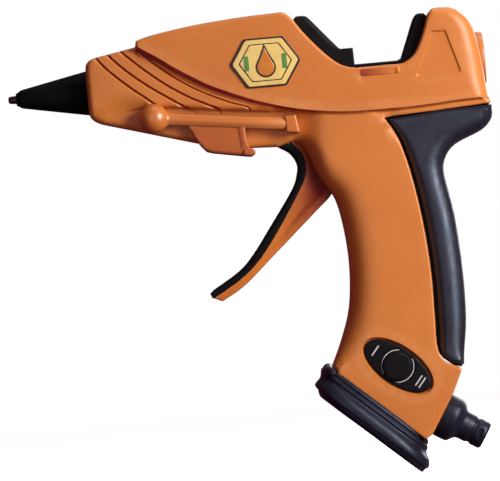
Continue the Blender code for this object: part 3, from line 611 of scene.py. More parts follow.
# Half width, depth and run of each groove
GROOVES = [(half, deep, np.array(smooth(line, 5))) for half, deep, line in (
    (0.80, 0.90, [(35.6, 14.6), (36.5, 13.3), (40, 8.8), (45, 3.9), (50, -0.5), (55, -4.5), (58.5, -7.4)]),
    (0.80, 0.90, [(40.4, 15.6), (41.2, 14.3), (45, 10), (50, 5.3), (55, 1.2), (60, -2.5), (65, -5.9),
                  (70, -9.2), (74.5, -12)]),
    (0.80, 0.90, [(45, 16.9), (46.2, 15.4), (50, 11.6), (55, 7), (60, 2.8), (65, -1), (70, -4.3),
                  (75, -7.2), (80, -9.6), (83.4, -11.3), (84.2, -12.9)]),
    (0.58, 0.65, [(54, 13.8), (60, 8.5), (65, 4.2), (70, 0.6), (75, -2.6), (80, -5.3), (85, -7.7),
                 (90, -9.8), (95.2, -11.6), (96.1, -13)]),
)]
HUMP_PANEL = rounded([(171, 12.3), (176.8, 12.1), (181.9, -5.6), (163, -5.9)], 1.0)
FOLD = np.array(smooth([(141, -17.9), (144.3, -18.6), (147.2, -20.1), (149.4, -22.1), (151.8, -26.6),
    (154, -34)], 5))
SADDLE_BAR = rounded([(141.3, -0.7), (157.3, -0.7), (157.3, -3.5), (141.3, -3.5)], 0.6)
KEEL_ZONE = smooth([(30, -14.5), (38, -13.6), (43, -10.8), (49, -8.9), (62, -8.9), (80, -11.4), (100, -13.9),
    (109.5, -15), (112.4, -17.2), (112.6, -20.5), (112.4, -27)], 3)
KEEL_ZONE = KEEL_ZONE + [(112.4, -45), (30, -45)]


def body_edge():
    """The orange body's outline, with the radius of its rounded rim."""
    nose = smooth([(37, -13.1, 2.4), (34.9, -12.2, 2.6), (33, -10.8, 2.6), (32.1, -8.4, 2.6), (32, 0, 2.6),
        (32.1, 9.2, 2.6), (33, 11.9, 2.6), (35.6, 13.4, 2.4), (44, 14.9, 2.2), (52.6, 16.4, 1.8)])
    top = smooth([(53.1, 18.2, 1.4), (54.2, 19.1, 1.6), (62, 20.9, 1.9), (78, 23.1, 1.9), (96, 24.5, 1.9),
        (112.2, 25, 1.6)])
    saddle = smooth([(113.4, 24.7, 1.3), (116.2, 21.9, 1.2), (120, 16.4, 1.2), (125, 10.3, 1.2),
        (130, 5.1, 1.2), (134, 2, 1.1), (138.5, 0.4, 1), (142, 0.2, 0.9)])
    hump = smooth([(156, 0.2, 0.9), (159.2, 0.6, 1), (163.6, 3.8, 1.2), (167.2, 10.5, 1.3), (169.9, 18, 1.6),
        (171.4, 20.4, 2), (173.4, 21.2, 2.6), (178.5, 21.1, 3.8), (181.3, 20.2, 4.4), (183.8, 18.4, 5),
        (186, 16, 5.8), (187.4, 13.5, 6.2), (188.7, 9.4, 6.6), (190, 1, 6.8), (190.9, -9, 6.8),
        (191.5, -15.2, 5.5)])
    lip = [(192, -17.2, 1.6), (192.1, -18.6, 0.8), (170, -19.7, 0.7), (152, -20.4, 0.7)]
    border = smooth([(149.4, -20.8, 0.7), (154.2, -29.6, 0.8), (158, -44, 0.8), (161, -64, 0.8),
        (162.4, -84, 0.8), (162.2, -104, 0.8), (162.1, -113, 0.8), (163.6, -118.2, 0.8), (167, -121.2, 0.8),
        (170.2, -122.5, 0.8), (171.2, -123.4, 0.8)])
    tail = [(170.6, -124.8, 0.8), (*gland_frame(0.0, 9.0), 0.8),
            (*gland_frame(0.0, -9.0), 0.8), (*sole_frame(44.4, FOOT_HEIGHT - 0.4), 0.6),
            (*sole_frame(0.6, FOOT_HEIGHT - 0.4), 1.0)]
    front = smooth([(119.9, -117.6, 5.6), (124.4, -107.6, 10.2), (128.6, -95, 11), (130.2, -79, 11),
        (129.4, -64, 11), (127, -51.4, 10.4), (122.6, -44, 9), (119.8, -38.4, 8), (118.2, -33.4, 7),
        (116.2, -29, 5.6), (112.6, -26.8, 3.4), (106.6, -28.3, 2.2)])
    keel = [(97, -27.8, 2), (86, -27.6, 2), (75, -24.3, 2.2), (56, -18.7, 2.2)]
    return nose + top + saddle + hump + lip + border + tail + front + keel


BODY_EDGE = body_edge()
BODY_OUTLINE = spaced(BODY_EDGE, 1.0, True)[:, :2]


def body_face(side):
    """The outer face of one shell: nose, raised panel, handle, and what is sunk into them."""
    def top(spots):
        u, w = spots.T
        body = np.interp(u, (32, 60, 110, 140), (NOSE_HALF - 0.9, NOSE_HALF, BODY_HALF - 0.3, BODY_HALF))
        zone = -depth_in(spots, KEEL_ZONE)
        reach = np.interp(u, (36, 48, 60, 104, 113), (9, 7, 2.4, 2.2, 13))
        lift = ramp(zone, reach)
        steep = np.sqrt(np.clip(1 - (1 - lift)**2, 0, 1))
        soft = lift**2 * (3 - 2 * lift)
        even = np.interp(u, (40, 60, 104, 112), (1, 0, 0, 1))
        face = KEEL_HALF + (body - KEEL_HALF) * (steep + (soft - steep) * even)
        far, _ = nearest(spots, STEP, False)
        above = w > np.interp(u, STEP[:, 0], STEP[:, 1])
        rise = np.where(above, 1.0, 1.0 - ramp(far, step_width(u)))
        rise = np.where(u > STEP_START, rise, 0.0)
        face = face + (PANEL_HALF - face) * rise
        for half, deep, route in GROOVES:
            far, where = nearest(spots, route, False)
            fade = ramp(len(route) - 1 - where, 4.0) * 0.5 + 0.5
            face = face - deep * fade * (1 - ramp(far, half))
        face = face - 0.75 * ramp(depth_in(spots, HUMP_PANEL), 0.7)
        face = face + 1.0 * ramp(depth_in(spots, SADDLE_BAR), 0.6) * ramp(u - 141.3, 7.5)
        over, _ = nearest(spots, FOLD, False)
        behind = (u > np.interp(-w, -FOLD[:, 1], FOLD[:, 0])) & (w < -17.6)
        fade = ramp(w + 33.0, 5.0) * ramp(156.0 - u, 4.0)
        face = face - 0.8 * np.where(behind, ramp(over, 1.3), 0.0) * fade
        if side == LEFT:
            seat = depth_in(spots, ellipse(DIAL_CENTRE, *DIAL_SEAT, DIAL_ANGLE))
            face = face - 1.9 * ramp(seat, DIAL_SEAT_SLOPE)
        else:
            for centre in SCREWS:
                far = np.hypot(*(spots - centre).T)
                face = np.where(far < SCREW_MOUTH_R, face - (SCREW_MOUTH_R - far) * 0.6, face)
                face = np.where(far < SCREW_WELL_R, SCREW_SEAT, face)
        return face
    return top


def circle(centre, radius, count=40):
    return ellipse(centre, radius, radius, 0.0, count)


def closed(points):
    return list(points) + [points[0]]


def body_lines(side):
    """The features that the shell's mesh follows."""
    slope = normals(STEP) * step_width(STEP[:, 0])[:, None]
    shown = (STEP[:, 0] > STEP_START + 0.6) & (STEP[:, 0] < 191.0)
    lines = [spaced((STEP - slope * share)[shown], 0.8) for share in (0, 0.6, 1)]
    for half, _, route in GROOVES:
        lines += [spaced(route + normals(route) * half * share, 0.7) for share in (-1.9, -1, 0, 1, 1.9)]
    for sunk, reach in ((HUMP_PANEL, 0.7), (SADDLE_BAR, 0.6)):
        middle = np.mean(sunk, 0)
        shrink = 1 - reach / np.abs(np.array(sunk) - middle).mean()
        inner = [middle + (p - middle) * shrink for p in np.array(sunk)]
        lines += [spaced(closed(loop), 0.7) for loop in (sunk, inner)]
    lines += [spaced(FOLD + normals(FOLD) * off, 0.8) for off in (0, 0.6)]
    lines += [spaced(KEEL_ZONE[:-2], 0.9) + (0.0, lift) for lift in (0, 0.35, 1, 2.2)]
    if side == LEFT:
        for d in (0.0, DIAL_SEAT_SLOPE):
            lines.append(closed(ellipse(DIAL_CENTRE, DIAL_SEAT[0] - d, DIAL_SEAT[1] - d, DIAL_ANGLE, 90)))
    else:
        lines += [closed(circle(c, r)) for c in SCREWS for r in (3.5, 3.6, SCREW_MOUTH_R)]
    return [clipped(line) for line in lines]


def clipped(line):
    """The part of a line that lies well inside the body."""
    line = np.array(line, float)[:, :2]
    clear = depth_in(line, BODY_OUTLINE) > 0.12
    return line[clear] if clear.sum() > 1 else line[:2]


def body_floor(spots, depth, high):
    """The inner face: the parting line at the rim, the wall's thickness elsewhere, and every bore."""
    u, w = spots.T
    low = np.where(depth < WALL, PARTING, high - WALL)

    def clear(low, where, radius, off_axis):
        return np.where(where & (np.abs(off_axis) < radius),
                        np.maximum(low, np.sqrt(np.clip(radius**2 - off_axis**2, 0, None))), low)

    low = clear(low, u < 60.0, 9.2, w)
    low = clear(low, u > 104.0, GUIDE_R + 0.4, w)
    low = clear(low, u > 187.8, 11.0, w)
    low = np.where((u > 104.6) & (u < 137.2) & (w > -58.0) & (w < -20.0), np.maximum(low, 9.3), low)
    across = along(GLAND_ANGLE + math.pi / 2)
    ahead = along(GLAND_ANGLE)
    from_gland = spots - np.array(GLAND_BASE)
    return clear(low, from_gland @ ahead > -14.0, 6.3, from_gland @ across)


def make_housing(side):
    """One shell, with painted shade in its grooves, under its panel and on the bar below the saddle, as slots
    of their own.
    """
    name = SIDES[side]
    shell = relief(f"{name}_shell", BODY_EDGE, body_face(side), body_floor, body_lines(side), side)
    dress(shell, "housing", "orange_shell", ORANGE, f"{name}_housing")
    shell.data.materials.append(STEP_SHADE)
    shell.data.materials.append(SADDLE_BAR_SHADE)
    middles = np.array([tuple(face.center) for face in shell.data.polygons])
    u = (middles[:, 0] - TIP_LOW.x) / MM
    w = (middles[:, 2] - AXIS_Z) / MM
    y = np.abs(middles[:, 1]) / MM
    spots = np.stack((u, w), 1)
    # Faces that get the painted shade: the upper part of the slope under the panel, and each groove's upper
    # wall
    far, _ = nearest(spots, STEP, False)
    below = w < np.interp(u, STEP[:, 0], STEP[:, 1])
    red = below & (far < step_width(u) * 0.6) & (u > STEP_START)
    for half, _, route in GROOVES:
        far, where = nearest(spots, route, False)
        first = np.clip(where.astype(int), 0, len(route) - 2)
        ahead = route[first + 1] - route[first]
        off = spots - route[first]
        red |= (far < half * 0.75) & (ahead[:, 0] * off[:, 1] - ahead[:, 1] * off[:, 0] > 0.0)
    # The bar's faces, which get the painted shade
    shaded_bar = depth_in(spots, SADDLE_BAR) > 0.05
    slots = np.where(y > KEEL_HALF, red + 2 * shaded_bar, 0)
    shell.data.polygons.foreach_set("material_index", slots.astype(np.int32))


# ---- grips

RUBBER_BORDER = [(151.2, -21.6, 1.2), (155.6, -30.2, 3.4), (159, -44, 4.6), (162, -64, 5), (163.4, -84, 5),
    (163.3, -104, 5), (163.2, -112.6, 4.2), (164.3, -117.3, 2), (167.6, -120.5, 1.4)]


def grip_edge():
    """The rubber's outline on the rear of the handle and under the body's rear."""
    rear = smooth([(172.2, -121.8, 1.4), (172.9, -116, 5), (174.8, -103, 6.2), (175.2, -84, 6.4),
        (174, -62, 6.6), (171.5, -46, 6.8), (172, -39.4, 6.8), (176.6, -33.8, 6.4), (187.4, -29.2, 6),
        (191.6, -25.4, 5.6), (192.6, -22.6, 4.6)])
    top = [(192.5, -19.2, 1.6), (170, -20, 1.2)]
    return smooth(RUBBER_BORDER) + rear + top


def make_grip(side):
    name = SIDES[side]
    grip = relief(f"{name}_overmould", grip_edge(), GRIP_HALF, PARTING, (), side, 2.0, 0.9, 8)
    dress(grip, "housing", "grip_rubber", RUBBER, f"{name}_grip")


def make_grip_bed():
    """The dark floor of the groove between the shells and the rubber."""
    line = smooth(RUBBER_BORDER[:-2])
    edge = [(u - BED_HALF, w) for u, w, _ in line] + [(164.6, -118.8), (167.6, -121.3), (171.4, -122.6)]
    edge += [(171.8, -117)] + [(u + BED_HALF, w) for u, w, _ in reversed(line)]
    edge += [(191.4, -20.8), (191.6, -17.8), (150, -19)]
    bed = relief("grip_bed", with_rim(edge, 0.3), 14.2, None, (), LEFT, 4.0, 2.0, 2)
    dress(bed, "housing", "grip_rubber", SILICONE)


# ---- stick path

def make_saddle():
    """The black lining: a wedge at each end, a ring at the front and a half-round trough between them."""
    def bore(spots, depth, high):
        return np.sqrt(np.clip((STICK_BORE_R + 0.3)**2 - spots[:, 1]**2, 0, None))

    front = smooth([(139.4, 0.5, 0.2), (138.5, 0.6, 0.2), (134.2, 2.3, 0.2), (130.2, 5.4, 0.2),
        (125.2, 10.6, 0.2), (120.2, 16.7, 0.3), (116.8, 22, 0.8)])
    front += smooth([(117.8, 22.9, 1.5), (120.6, 22.9, 1.6), (122.8, 21.8, 1.8), (128.2, 15.4, 1.8),
        (133.5, 9.1, 1.6)])
    front += [(134.4, 8.4, 0.8), (139.4, 8.4, 0.6)]
    rear = smooth([(157, 0.5, 0.2), (159.4, 0.5, 0.2), (163.9, 3.9, 0.2), (167.4, 10.6, 0.2),
        (170.2, 18, 0.9)])
    rear += smooth([(168.9, 19.6, 1.4), (166.3, 19.6, 1.5), (164.6, 18, 1.6), (161.4, 10.2, 1.6),
        (158.2, 2.3, 1)])
    rear += [(157, 2, 0.6)]
    for name, edge in (("front", front), ("rear", rear)):
        for side in SIDES:
            wedge = relief(f"{name}_{SIDES[side]}_wedge", edge, 13.0, bore, (), side, 2.0, 0.8, 5)
            dress(wedge, "housing", "black_plastic", BLACK)
    ring = turned("stick_ring", [(131.0, STICK_BORE_R), (138.9, STICK_BORE_R), (139.6, STICK_BORE_R + 0.6),
                                 (139.6, GUIDE_R - 0.4), (139.2, GUIDE_R), (131.0, GUIDE_R)])
    dress(ring, "housing", "black_plastic", BLACK)
    arcs = [math.radians(a) for a in range(12, -193, -8)]
    inner = [(STICK_BORE_R * math.cos(a), STICK_BORE_R * math.sin(a)) for a in arcs]
    outer = [(GUIDE_R * math.cos(a), GUIDE_R * math.sin(a)) for a in reversed(arcs[2:-2])]
    flange = [(-GUIDE_R, 0.7), (-12.3, 0.7), (-12.6, 1), (-12.6, 1.4), (-12.3, 1.7), (-6.9, 1.7)]
    section = inner + flange + outer[1:-1] + [(-y, w) for y, w in reversed(flange)]
    trough = lofted("stick_trough", [[(u, y, w) for y, w in section] for u in (139.6, 157.6)], 30)
    dress(trough, "housing", "black_plastic", BLACK, "front_guide", "saddle_trough", "rear_guide")


def make_collar():
    face = [(188.6, GUIDE_R), (188.6, 9.9), (188.9, 10.4), (189.4, 10.6), (191, 10.6), (191.5, 10.4),
        (191.8, 9.9), (191.8, STICK_BORE_R + 1.6), (191.6, STICK_BORE_R + 0.9), (191.0, STICK_BORE_R + 0.3),
        (189.6, STICK_BORE_R), (166.4, STICK_BORE_R), (166.4, GUIDE_R)]
    dress(turned("inlet_ring", face, count=96), "housing", "orange_trim", COLLAR, "stick_inlet_collar")


# ---- nozzle

def make_nozzle():
    tip = [(0, 0.8), (0.12, 1.05), (0.4, 1.3), (0.9, 1.48), (1.6, 1.56), (3.2, 1.65), (6, 2.2), (30, 4.6),
        (38, 4.6), (38, 6.2), (43, 6.2), (43, 4.2), (54.5, 4.2), (54.5, 2.8), (32.5, 2.8), (31, 1.5),
        (28.3, 1.5), (27.2, 2.6), (12.5, 2.6), (11, 0.8)]
    dress(turned("metal_tip", tip), "housing", "steel", HOT_STEEL, "nozzle_tip")
    boot = [(3.3, 1.9), (3.1, 2.1), (3.2, 2.4), (5, 3.5), (5.6, 3.75), (18, 6.2), (31.6, 8.85), (34.4, 8.9),
        (34.8, 9.7), (36, 9.7), (36, 5.2), (30, 5.2), (6, 2.7), (4.6, 1.9)]
    dress(turned("silicone_cone", boot, count=96), "housing", "silicone", SILICONE, "nozzle_boot")


# ---- trigger

PAD_FRONT = smooth([(106, -28.5, 0.8), (110.4, -31.4, 2), (112.8, -35.6, 2.2), (112.6, -39.6, 2.2),
    (110, -46, 2.2), (100, -60, 2), (92.4, -70.2, 1.8), (86, -76.6, 1.6), (75.2, -83.1, 1)])
PAD_BACK = smooth([(111.4, -27.1), (115.2, -31.4), (116.4, -36.6), (115, -43.2), (105, -59), (95, -72.4),
    (86, -80.2), (74.8, -86.6)])


def make_trigger():
    """The rubber pad, the lever behind it and the two arms of the fork, up to the carriage pin."""
    edge = PAD_FRONT + [(73.6, -84.6, 1)] + with_rim(PAD_BACK[::-1], 0.6)
    pad = relief("finger_pad", edge, 9.0, None, (), LEFT, 1.6, 0.9, 4)
    dress(pad, "trigger", "grip_rubber", PAD_RUBBER, "trigger_pad")
    seat = [(u - 0.9, w + 0.6, 0.3) for u, w in reversed(PAD_BACK)]
    hood = smooth([(108.8, -28.9, 0.4), (106.9, -28.9, 0.5), (106.1, -26.8, 1), (107.4, -23.4, 1.4),
        (110.4, -20.4, 1.8), (114.4, -18.8, 2), (119, -18.6, 2), (124, -22, 2)])
    rear = smooth([(126.6, -32, 1), (127, -42, 1), (126.2, -48.6, 1.2), (118, -56.2, 1.2), (100, -72, 1.2),
        (88, -82.4, 1.1), (78.4, -88, 1)])
    edge = seat + hood + rear
    fold = np.array([(u, w) for u, w, _ in edge])
    seam = np.array(PAD_BACK)
    ridge = [spaced(seam + normals(seam) * off, 0.8)[2:-2] for off in (0.5, 1.3)]

    def web(spots):
        """Thick round its edge and sunk inside it."""
        sunk = ramp(depth_in(spots, fold) - 2.4, 2.6)
        from_pad, _ = nearest(spots, seam, False)
        return 8.1 - 1.0 * sunk**2 * (3 - 2 * sunk) + 0.35 * ramp(1.3 - from_pad, 0.8)

    lever = relief("trigger_lever", edge, web, None, ridge, LEFT, 1.0, 0.8, 3)
    dress(lever, "trigger", "orange_trim", LEVER, "trigger")
    lean = math.atan2(FORK_END[1] - FORK_START[1], FORK_END[0] - FORK_START[0])
    reach = [(-3, 3.4), (21, 3), (21, 1.85), (16.6, 1.85), (15.4, 0), (16.6, -1.85), (21, -1.85), (21, -3),
        (-3, -3.4)]
    fork = [(*framed(FORK_START, lean, a, b), 0.25) for a, b in reach]
    for side in SIDES:
        arm = relief(f"{SIDES[side]}_trigger_fork", fork, 5.4, 2.7, (), side, 2.4, 1.2, 2)
        dress(arm, "trigger", "orange_trim", TRIM)


# ---- stand

def arm_profile():
    """The ball at the pivot end and the round arm behind it, with a small fillet where they meet."""
    ball_r, rod_r, length = 5.9, 2.6, 54.4
    turns = [math.radians(a) for a in range(0, 150, 6)]
    head = [(-ball_r * math.cos(a), ball_r * math.sin(a)) for a in turns]
    neck = [(5.35, 2.95), (5.9, 2.72), (6.8, 2.62)]
    end = [(length - 1.4, rod_r), (length - 0.4, rod_r - 0.4), (length, rod_r - 1.2), (length, 0.0)]
    return [(head[0][0], 0.0)] + head[1:] + neck + [(20.0, rod_r), (36.0, rod_r)] + end


def make_stand():
    keel = np.array([(37, -3), (37, -13.5), (75, -24.7), (86, -28), (106.6, -28.7), (136, -40), (136, -3)])
    band = smooth([(69.4, -15.4, 0.8), (71.6, -18.8, 1), (74.6, -24.4, 1.2), (77.4, -27.7, 1.4)])
    band += smooth([(80, -28.5, 1.5), (93.6, -31, 1.5), (95.8, -30.8, 1.3), (96.9, -29.8, 1),
        (96.6, -28.6, 0.7)])
    band += smooth([(94.8, -27.8, 0.6), (93.9, -24.4, 0.8), (93.6, -20.4, 0.8), (93.2, -17.2, 0.8)])
    tab = rounded([(109.6, -16.6), (114.3, -16.2), (115.4, -23.8), (109.8, -22.9)], 0.7)

    def clear_keel(spots, depth, high):
        """Against the keel's sides, and right across beneath it."""
        return np.where(inside(spots, keel), KEEL_HALF + 0.45, 0.0)

    def ribbed(spots):
        """A raised lip down the rear edge."""
        return 17.2 + 0.7 * ramp(spots[:, 0] + 0.12 * (spots[:, 1] + 20.0) - 90.6, 0.5)

    for side in SIDES:
        name = SIDES[side]
        arm = turned(f"{name}_arm", arm_profile(), STAND_PIVOT, STAND_LEAN, side * 16.3, 56)
        dress(arm, "stand", "orange_trim", ARM)
        lip = [[(91.2, -28.6), (90.4, -18.6)]]
        strap = relief(f"{name}_band", band, ribbed, clear_keel, lip, side, 1.8, 0.8, 5)
        dress(strap, "stand", "orange_trim", SHADED_BAND)
        catch = relief(f"{name}_catch", with_rim(tab, 0.9), 19.2, 13.3, (), side, 1.6, 0.7, 5)
        dress(catch, "stand", "orange_trim", TRIM)
    pin = turned("stand_pin", [(-1, 0), (-1, 1.9), (1, 1.9), (1, 0)], STAND_PIVOT, STAND_LEAN, 0.0, 24)
    dress(pin, "stand", "orange_trim", TRIM, "stand")


# ---- foot

def foot_section(s0, s1, half, t, count=96):
    """A rounded oblong at the height t above the sole."""
    ring = []
    power = 2 / 3.6
    for i in range(count):
        a = 2 * math.pi * (i + 0.5) / count
        s = (s0 + s1) / 2 + (s1 - s0) / 2 * math.copysign(abs(math.cos(a))**power, math.cos(a))
        y = half * math.copysign(abs(math.sin(a))**power, math.sin(a))
        u, w = sole_frame(s, t)
        ring.append((u, y, w))
    return ring


def make_foot():
    """A flared base with two ridges along it, and a thinner sole under it."""
    profile = smooth([(-3, 51.4, 22.2, 1.9), (-4.1, 52.2, 23, 2.6), (-4.2, 52, 23, 4),
        (-4.1, 50.8, 22.5, 5.6), (-4.4, 49, 21.5, 6.8), (-4.9, 48, 20.7, 7.6), (-5.3, 47.6, 20.6, 8.2),
        (-5.7, 47.5, 20.9, 8.9), (-5.8, 47.2, 20.5, 9.5), (-5.6, 46.6, 19.7, 9.9), (-5.5, 46.4, 19.6, 10.2),
        (-5.4, 46.4, 19.9, 10.8), (-5.1, 46.1, 19.6, 11.5), (-4.2, 45.4, 18.9, 12), (-3, 44.4, 17.9, 12.2)],
        3)
    base = lofted("foot_moulding", [foot_section(*p) for p in profile], 40)
    dress(base, "housing", "black_plastic", FOOT_RUBBER, "foot_base")
    edge = smooth([(0.8, SOLE_LENGTH - 0.8, 20.6, 0.0), (0.2, SOLE_LENGTH - 0.2, 21.2, 0.12),
                   (-0.6, SOLE_LENGTH + 0.1, 21.8, 0.6), (-1.8, SOLE_LENGTH + 0.2, 22.5, 1.6),
                   (-2.3, SOLE_LENGTH + 0.1, 22.6, 2.1)], 3)
    sole = lofted("sole_pad", [foot_section(*p) for p in edge], 40)
    dress(sole, "housing", "grip_rubber", FOOT_RUBBER, "foot_sole")
    rings = []
    for i in range(33):
        a = math.pi * (i / 32 - 0.5)
        bend = math.cos(a)**0.5 if 0 < i < 32 else 0.02
        ring = []
        for k in range(20):
            turn = 2 * math.pi * k / 20
            ahead = -0.2 - 2.9 * bend + 2.7 * bend * math.cos(turn)
            u, w = sole_frame(ahead, 10.7 + 2.6 * bend * math.sin(turn))
            ring.append((u, 18.6 * math.sin(a), w))
        rings.append(ring)
    dress(lofted("foot_bead", rings, 50), "housing", "black_plastic", FOOT_RUBBER)


# ---- dial

def stroke(name, start, end, width, y, thick):
    """A printed stroke: a thin bar with round ends."""
    run = np.array(end) - np.array(start)
    angle = math.atan2(run[1], run[0])
    length = float(np.linalg.norm(run))
    edge = []
    for middle, first in ((length, -90), (0, 90)):
        for k in range(7):
            a = math.radians(first + 30 * k)
            along_it, across_it = middle + width / 2 * math.cos(a), width / 2 * math.sin(a)
            edge.append((*framed(start, angle, along_it, across_it), 0.03))
    return relief(name, edge, y + thick, y, (), LEFT, 1.0, 0.4, 2)


def make_dial():
    """A sunk oval plate with a low knob, two arcs round it and a mark at each end of its travel."""
    oval = with_rim(ellipse(DIAL_CENTRE, 15.5, 7.4, DIAL_ANGLE), 0.9)

    def dished(spots):
        far = np.hypot(*(spots - DIAL_CENTRE).T)
        return 17.0 - 0.25 * ramp(7.4 - far, 0.4)

    plate = relief("dial_face", oval, dished, 15.3, [closed(circle(DIAL_CENTRE, r)) for r in (7, 7.4)],
                   LEFT, 1.6, 0.7, 5)
    dress(plate, "housing", "black_plastic", BLACK, "dial_plate")
    knob_edge = []
    for i in range(120):
        a = 2 * math.pi * i / 120
        radius = 5.6 + 0.12 * math.cos(24 * a)
        knob_edge.append((*framed(DIAL_CENTRE, a, radius, 0.0), 0.55))

    def slotted(spots):
        """A finger slot across the knob's face."""
        across = (spots - np.array(DIAL_CENTRE)) @ along(DIAL_ANGLE)
        return 18.9 - 0.3 * ramp(1.6 - np.abs(across), 0.5)

    slot_lines = []
    for offset in (-1.6, -1.1, 1.1, 1.6):
        ends = [framed(DIAL_CENTRE, DIAL_ANGLE, offset, b) for b in (-4.8, 4.8)]
        slot_lines.append(spaced(ends, 0.7))
    knob = relief("dial_wheel", knob_edge, slotted, 16.85, slot_lines, LEFT, 1.0, 0.3, 4)
    dress(knob, "dial", "black_plastic", BLACK, "dial_knob")
    for name, first in (("low", 118), ("high", -62)):
        turns = [DIAL_ANGLE + math.radians(first + 4 * k) for k in range(32)]
        outer, inner = ([framed(DIAL_CENTRE, turn, radius, 0.0) for turn in turns] for radius in (6.62, 6.3))
        arc = relief(f"{name}_arc", with_rim(outer + inner[::-1], 0.02), 16.83, 16.6, (), LEFT, 1.0, 0.4, 2)
        dress(arc, "housing", "badge_print", MARKING)
    for name, places in (("low", [-10.9]), ("high", [10.2, 11.8])):
        for i, a in enumerate(places, 1):
            ends = [framed(DIAL_CENTRE, DIAL_ANGLE, a, b) for b in (-2.2, 2.2)]
            mark = stroke(f"{name}_mark_{i}", *ends, 0.55, 16.9, 0.16)
            dress(mark, "housing", "badge_print", MARKING)


# ---- badges

def drop(centre, size):
    """A glue drop: a point above a round belly."""
    belly = [math.radians(a) for a in range(-210, 31, 10)]
    edge = [(centre[0] + size * math.cos(a), centre[1] + size * math.sin(a)) for a in belly]
    tip = (centre[0], centre[1] + size * 2.35)
    right = smooth([edge[-1], (centre[0] + size * 0.42, centre[1] + size * 1.35), tip], 5)
    left = smooth([tip, (centre[0] - size * 0.42, centre[1] + size * 1.35), edge[0]], 5)
    return edge[:-1] + right[:-1] + left[:-1]


def make_badge(side):
    """A plain six-sided plate: a dark rim, a cream field, two leaf-green bars and a drop of glue."""
    name = SIDES[side]
    centre = (104, 5.6)
    corners = [(-14.2, 0), (-7.8, 9.9), (7.8, 9.9), (14.2, 0), (7.8, -9.9), (-7.8, -9.9)]

    def scaled(share, radius):
        return rounded([(centre[0] + a * share, centre[1] + b * share) for a, b in corners], radius)

    layers = [
        ("plate", with_rim(scaled(1, 1.6), 0.25), 19.45, 18.95, INK),
        ("field", with_rim(scaled(0.93, 1.4), 0.04), 19.52, 19.4, CREAM),
        ("ring", with_rim(scaled(0.76, 1), 0.02), 19.56, 19.5, INK),
        ("heart", with_rim(scaled(0.72, 0.9), 0.02), 19.60, 19.5, CREAM),
        ("drop_outline", with_rim(drop((104, 3.6), 4.1), 0.02), 19.64, 19.5, INK),
        ("drop", with_rim(drop((104, 3.6), 3.5), 0.3), 19.78, 19.5, AMBER),
    ]
    for bar, u in (("front", 96.4), ("rear", 111.6)):
        slant = [(u - 1.0, 8.6), (u + 1.0, 8.6), (u + 1.0, 2.6), (u - 1.0, 2.6)]
        layers.append((f"{bar}_bar", with_rim(rounded(slant, 0.5), 0.02), 19.64, 19.5, LEAF))
    for layer, edge, high, low, material in layers:
        made = relief(f"{name}_badge_{layer}", edge, high, low, (), side, 2.4, 0.6, 3)
        dress(made, "housing", "badge_print", material, *([f"{name}_badge"] if layer == "plate" else []))


# ---- gland and screws

def make_gland():
    """The cord's strain relief: a flange, a waist, a ring groove and slots near its end."""
    rings = [(-7, 3.6), (19.4, 3.6), (19.8, 4), (19.8, 5), (19.4, 5.5), (18.7, 5.75), (15.3, 5.8),
        (14.9, 5.6), (14.7, 5.35), (13.8, 5.35), (13.6, 5.6), (13.2, 5.8), (9.8, 5.85), (8.6, 6.2),
        (7.4, 7.6), (6.6, 8.5), (5.8, 8.95), (5, 9.1), (0.9, 9.1), (0.4, 8.8), (0.3, 8.3), (0.3, 5.8),
        (-7, 5.8)]
    gland = turned("strain_relief", rings, GLAND_BASE, GLAND_ANGLE, 0.0, 72)
    middle, half, radius = 17.2, 1.5, 1.0
    ends = [(middle, b + math.copysign(radius * math.sin(a), b), radius * math.cos(a))
            for b in (-half, half) for a in [math.radians(x) for x in range(0, 181, 20)]]
    edge = [gland_frame(m + c, b) for m, b, c in ends[:10]]
    edge += [gland_frame(m + c, b) for m, b, c in reversed(ends[10:])]
    for side in SIDES:
        cutter = lofted("flex_slot_cutter", [[(u, side * y, w) for u, w in edge] for y in (4.3, 12)])
        cut(gland, cutter)
    gland.data.shade_smooth()
    gland.data.set_sharp_from_angle(angle=math.radians(35))
    dress(gland, "housing", "grip_rubber", FOOT_RUBBER, "cord_gland")


def make_screws():
    """Pan heads with a cross recess, at the bottom of their wells."""
    for i, (u, w) in enumerate(SCREWS, 1):
        def head(spots, u=u, w=w):
            far = np.hypot(spots[:, 0] - u, spots[:, 1] - w)
            slot = np.minimum(np.abs(spots[:, 0] - u), np.abs(spots[:, 1] - w))
            sunk = ramp(0.62 - slot, 0.25) * ramp(1.9 - far, 0.5)
            return 13.5 - 0.05 * far - 1.1 * sunk

        rings = [closed(circle((u, w), r, 28)) for r in (0.6, 1.4, 1.9)]
        cross = []
        for a in (-0.62, 0.62):
            cross.append(spaced([(u - 1.8, w - a), (u + 1.8, w - a)], 0.35))
        for a in (0.62, -0.62):
            cross.append(spaced([(u + a, w - 1.8), (u + a, w + 1.8)], 0.35))
        screw = relief(f"screw_head_{i}", with_rim(circle((u, w), 3.05, 48), 0.9), head, SCREW_SEAT + 0.05,
                       rings + cross, RIGHT, 0.8, 0.5, 4)
        dress(screw, "housing", "steel", STEEL, f"housing_screw_{i}")


# ---- CAD pieces that stay

INNER = (
    (STEEL, ("check_ball", "check_spring", "heater_clip", "sleeve_clamp", "trigger_pin", "jaw_pin",
             "gripper_jaw", "return_spring")),
    (CAST, ("melt_chamber",)),
    (CERAMIC, ("heater_plate", "front_chamber_support", "rear_chamber_support", "temperature_switch",
               "terminal_block")),
    (SILICONE, ("inlet_sleeve",)),
    (BLACK, ("carriage", "cord_clamp")),
    (JACKET, ("left_lead", "right_lead")),
)


def dress_inner():
    for material, names in INNER:
        for name in names:
            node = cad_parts[name]
            node.data.materials.clear()
            node.data.materials.append(material)


# ---- stage, light and camera

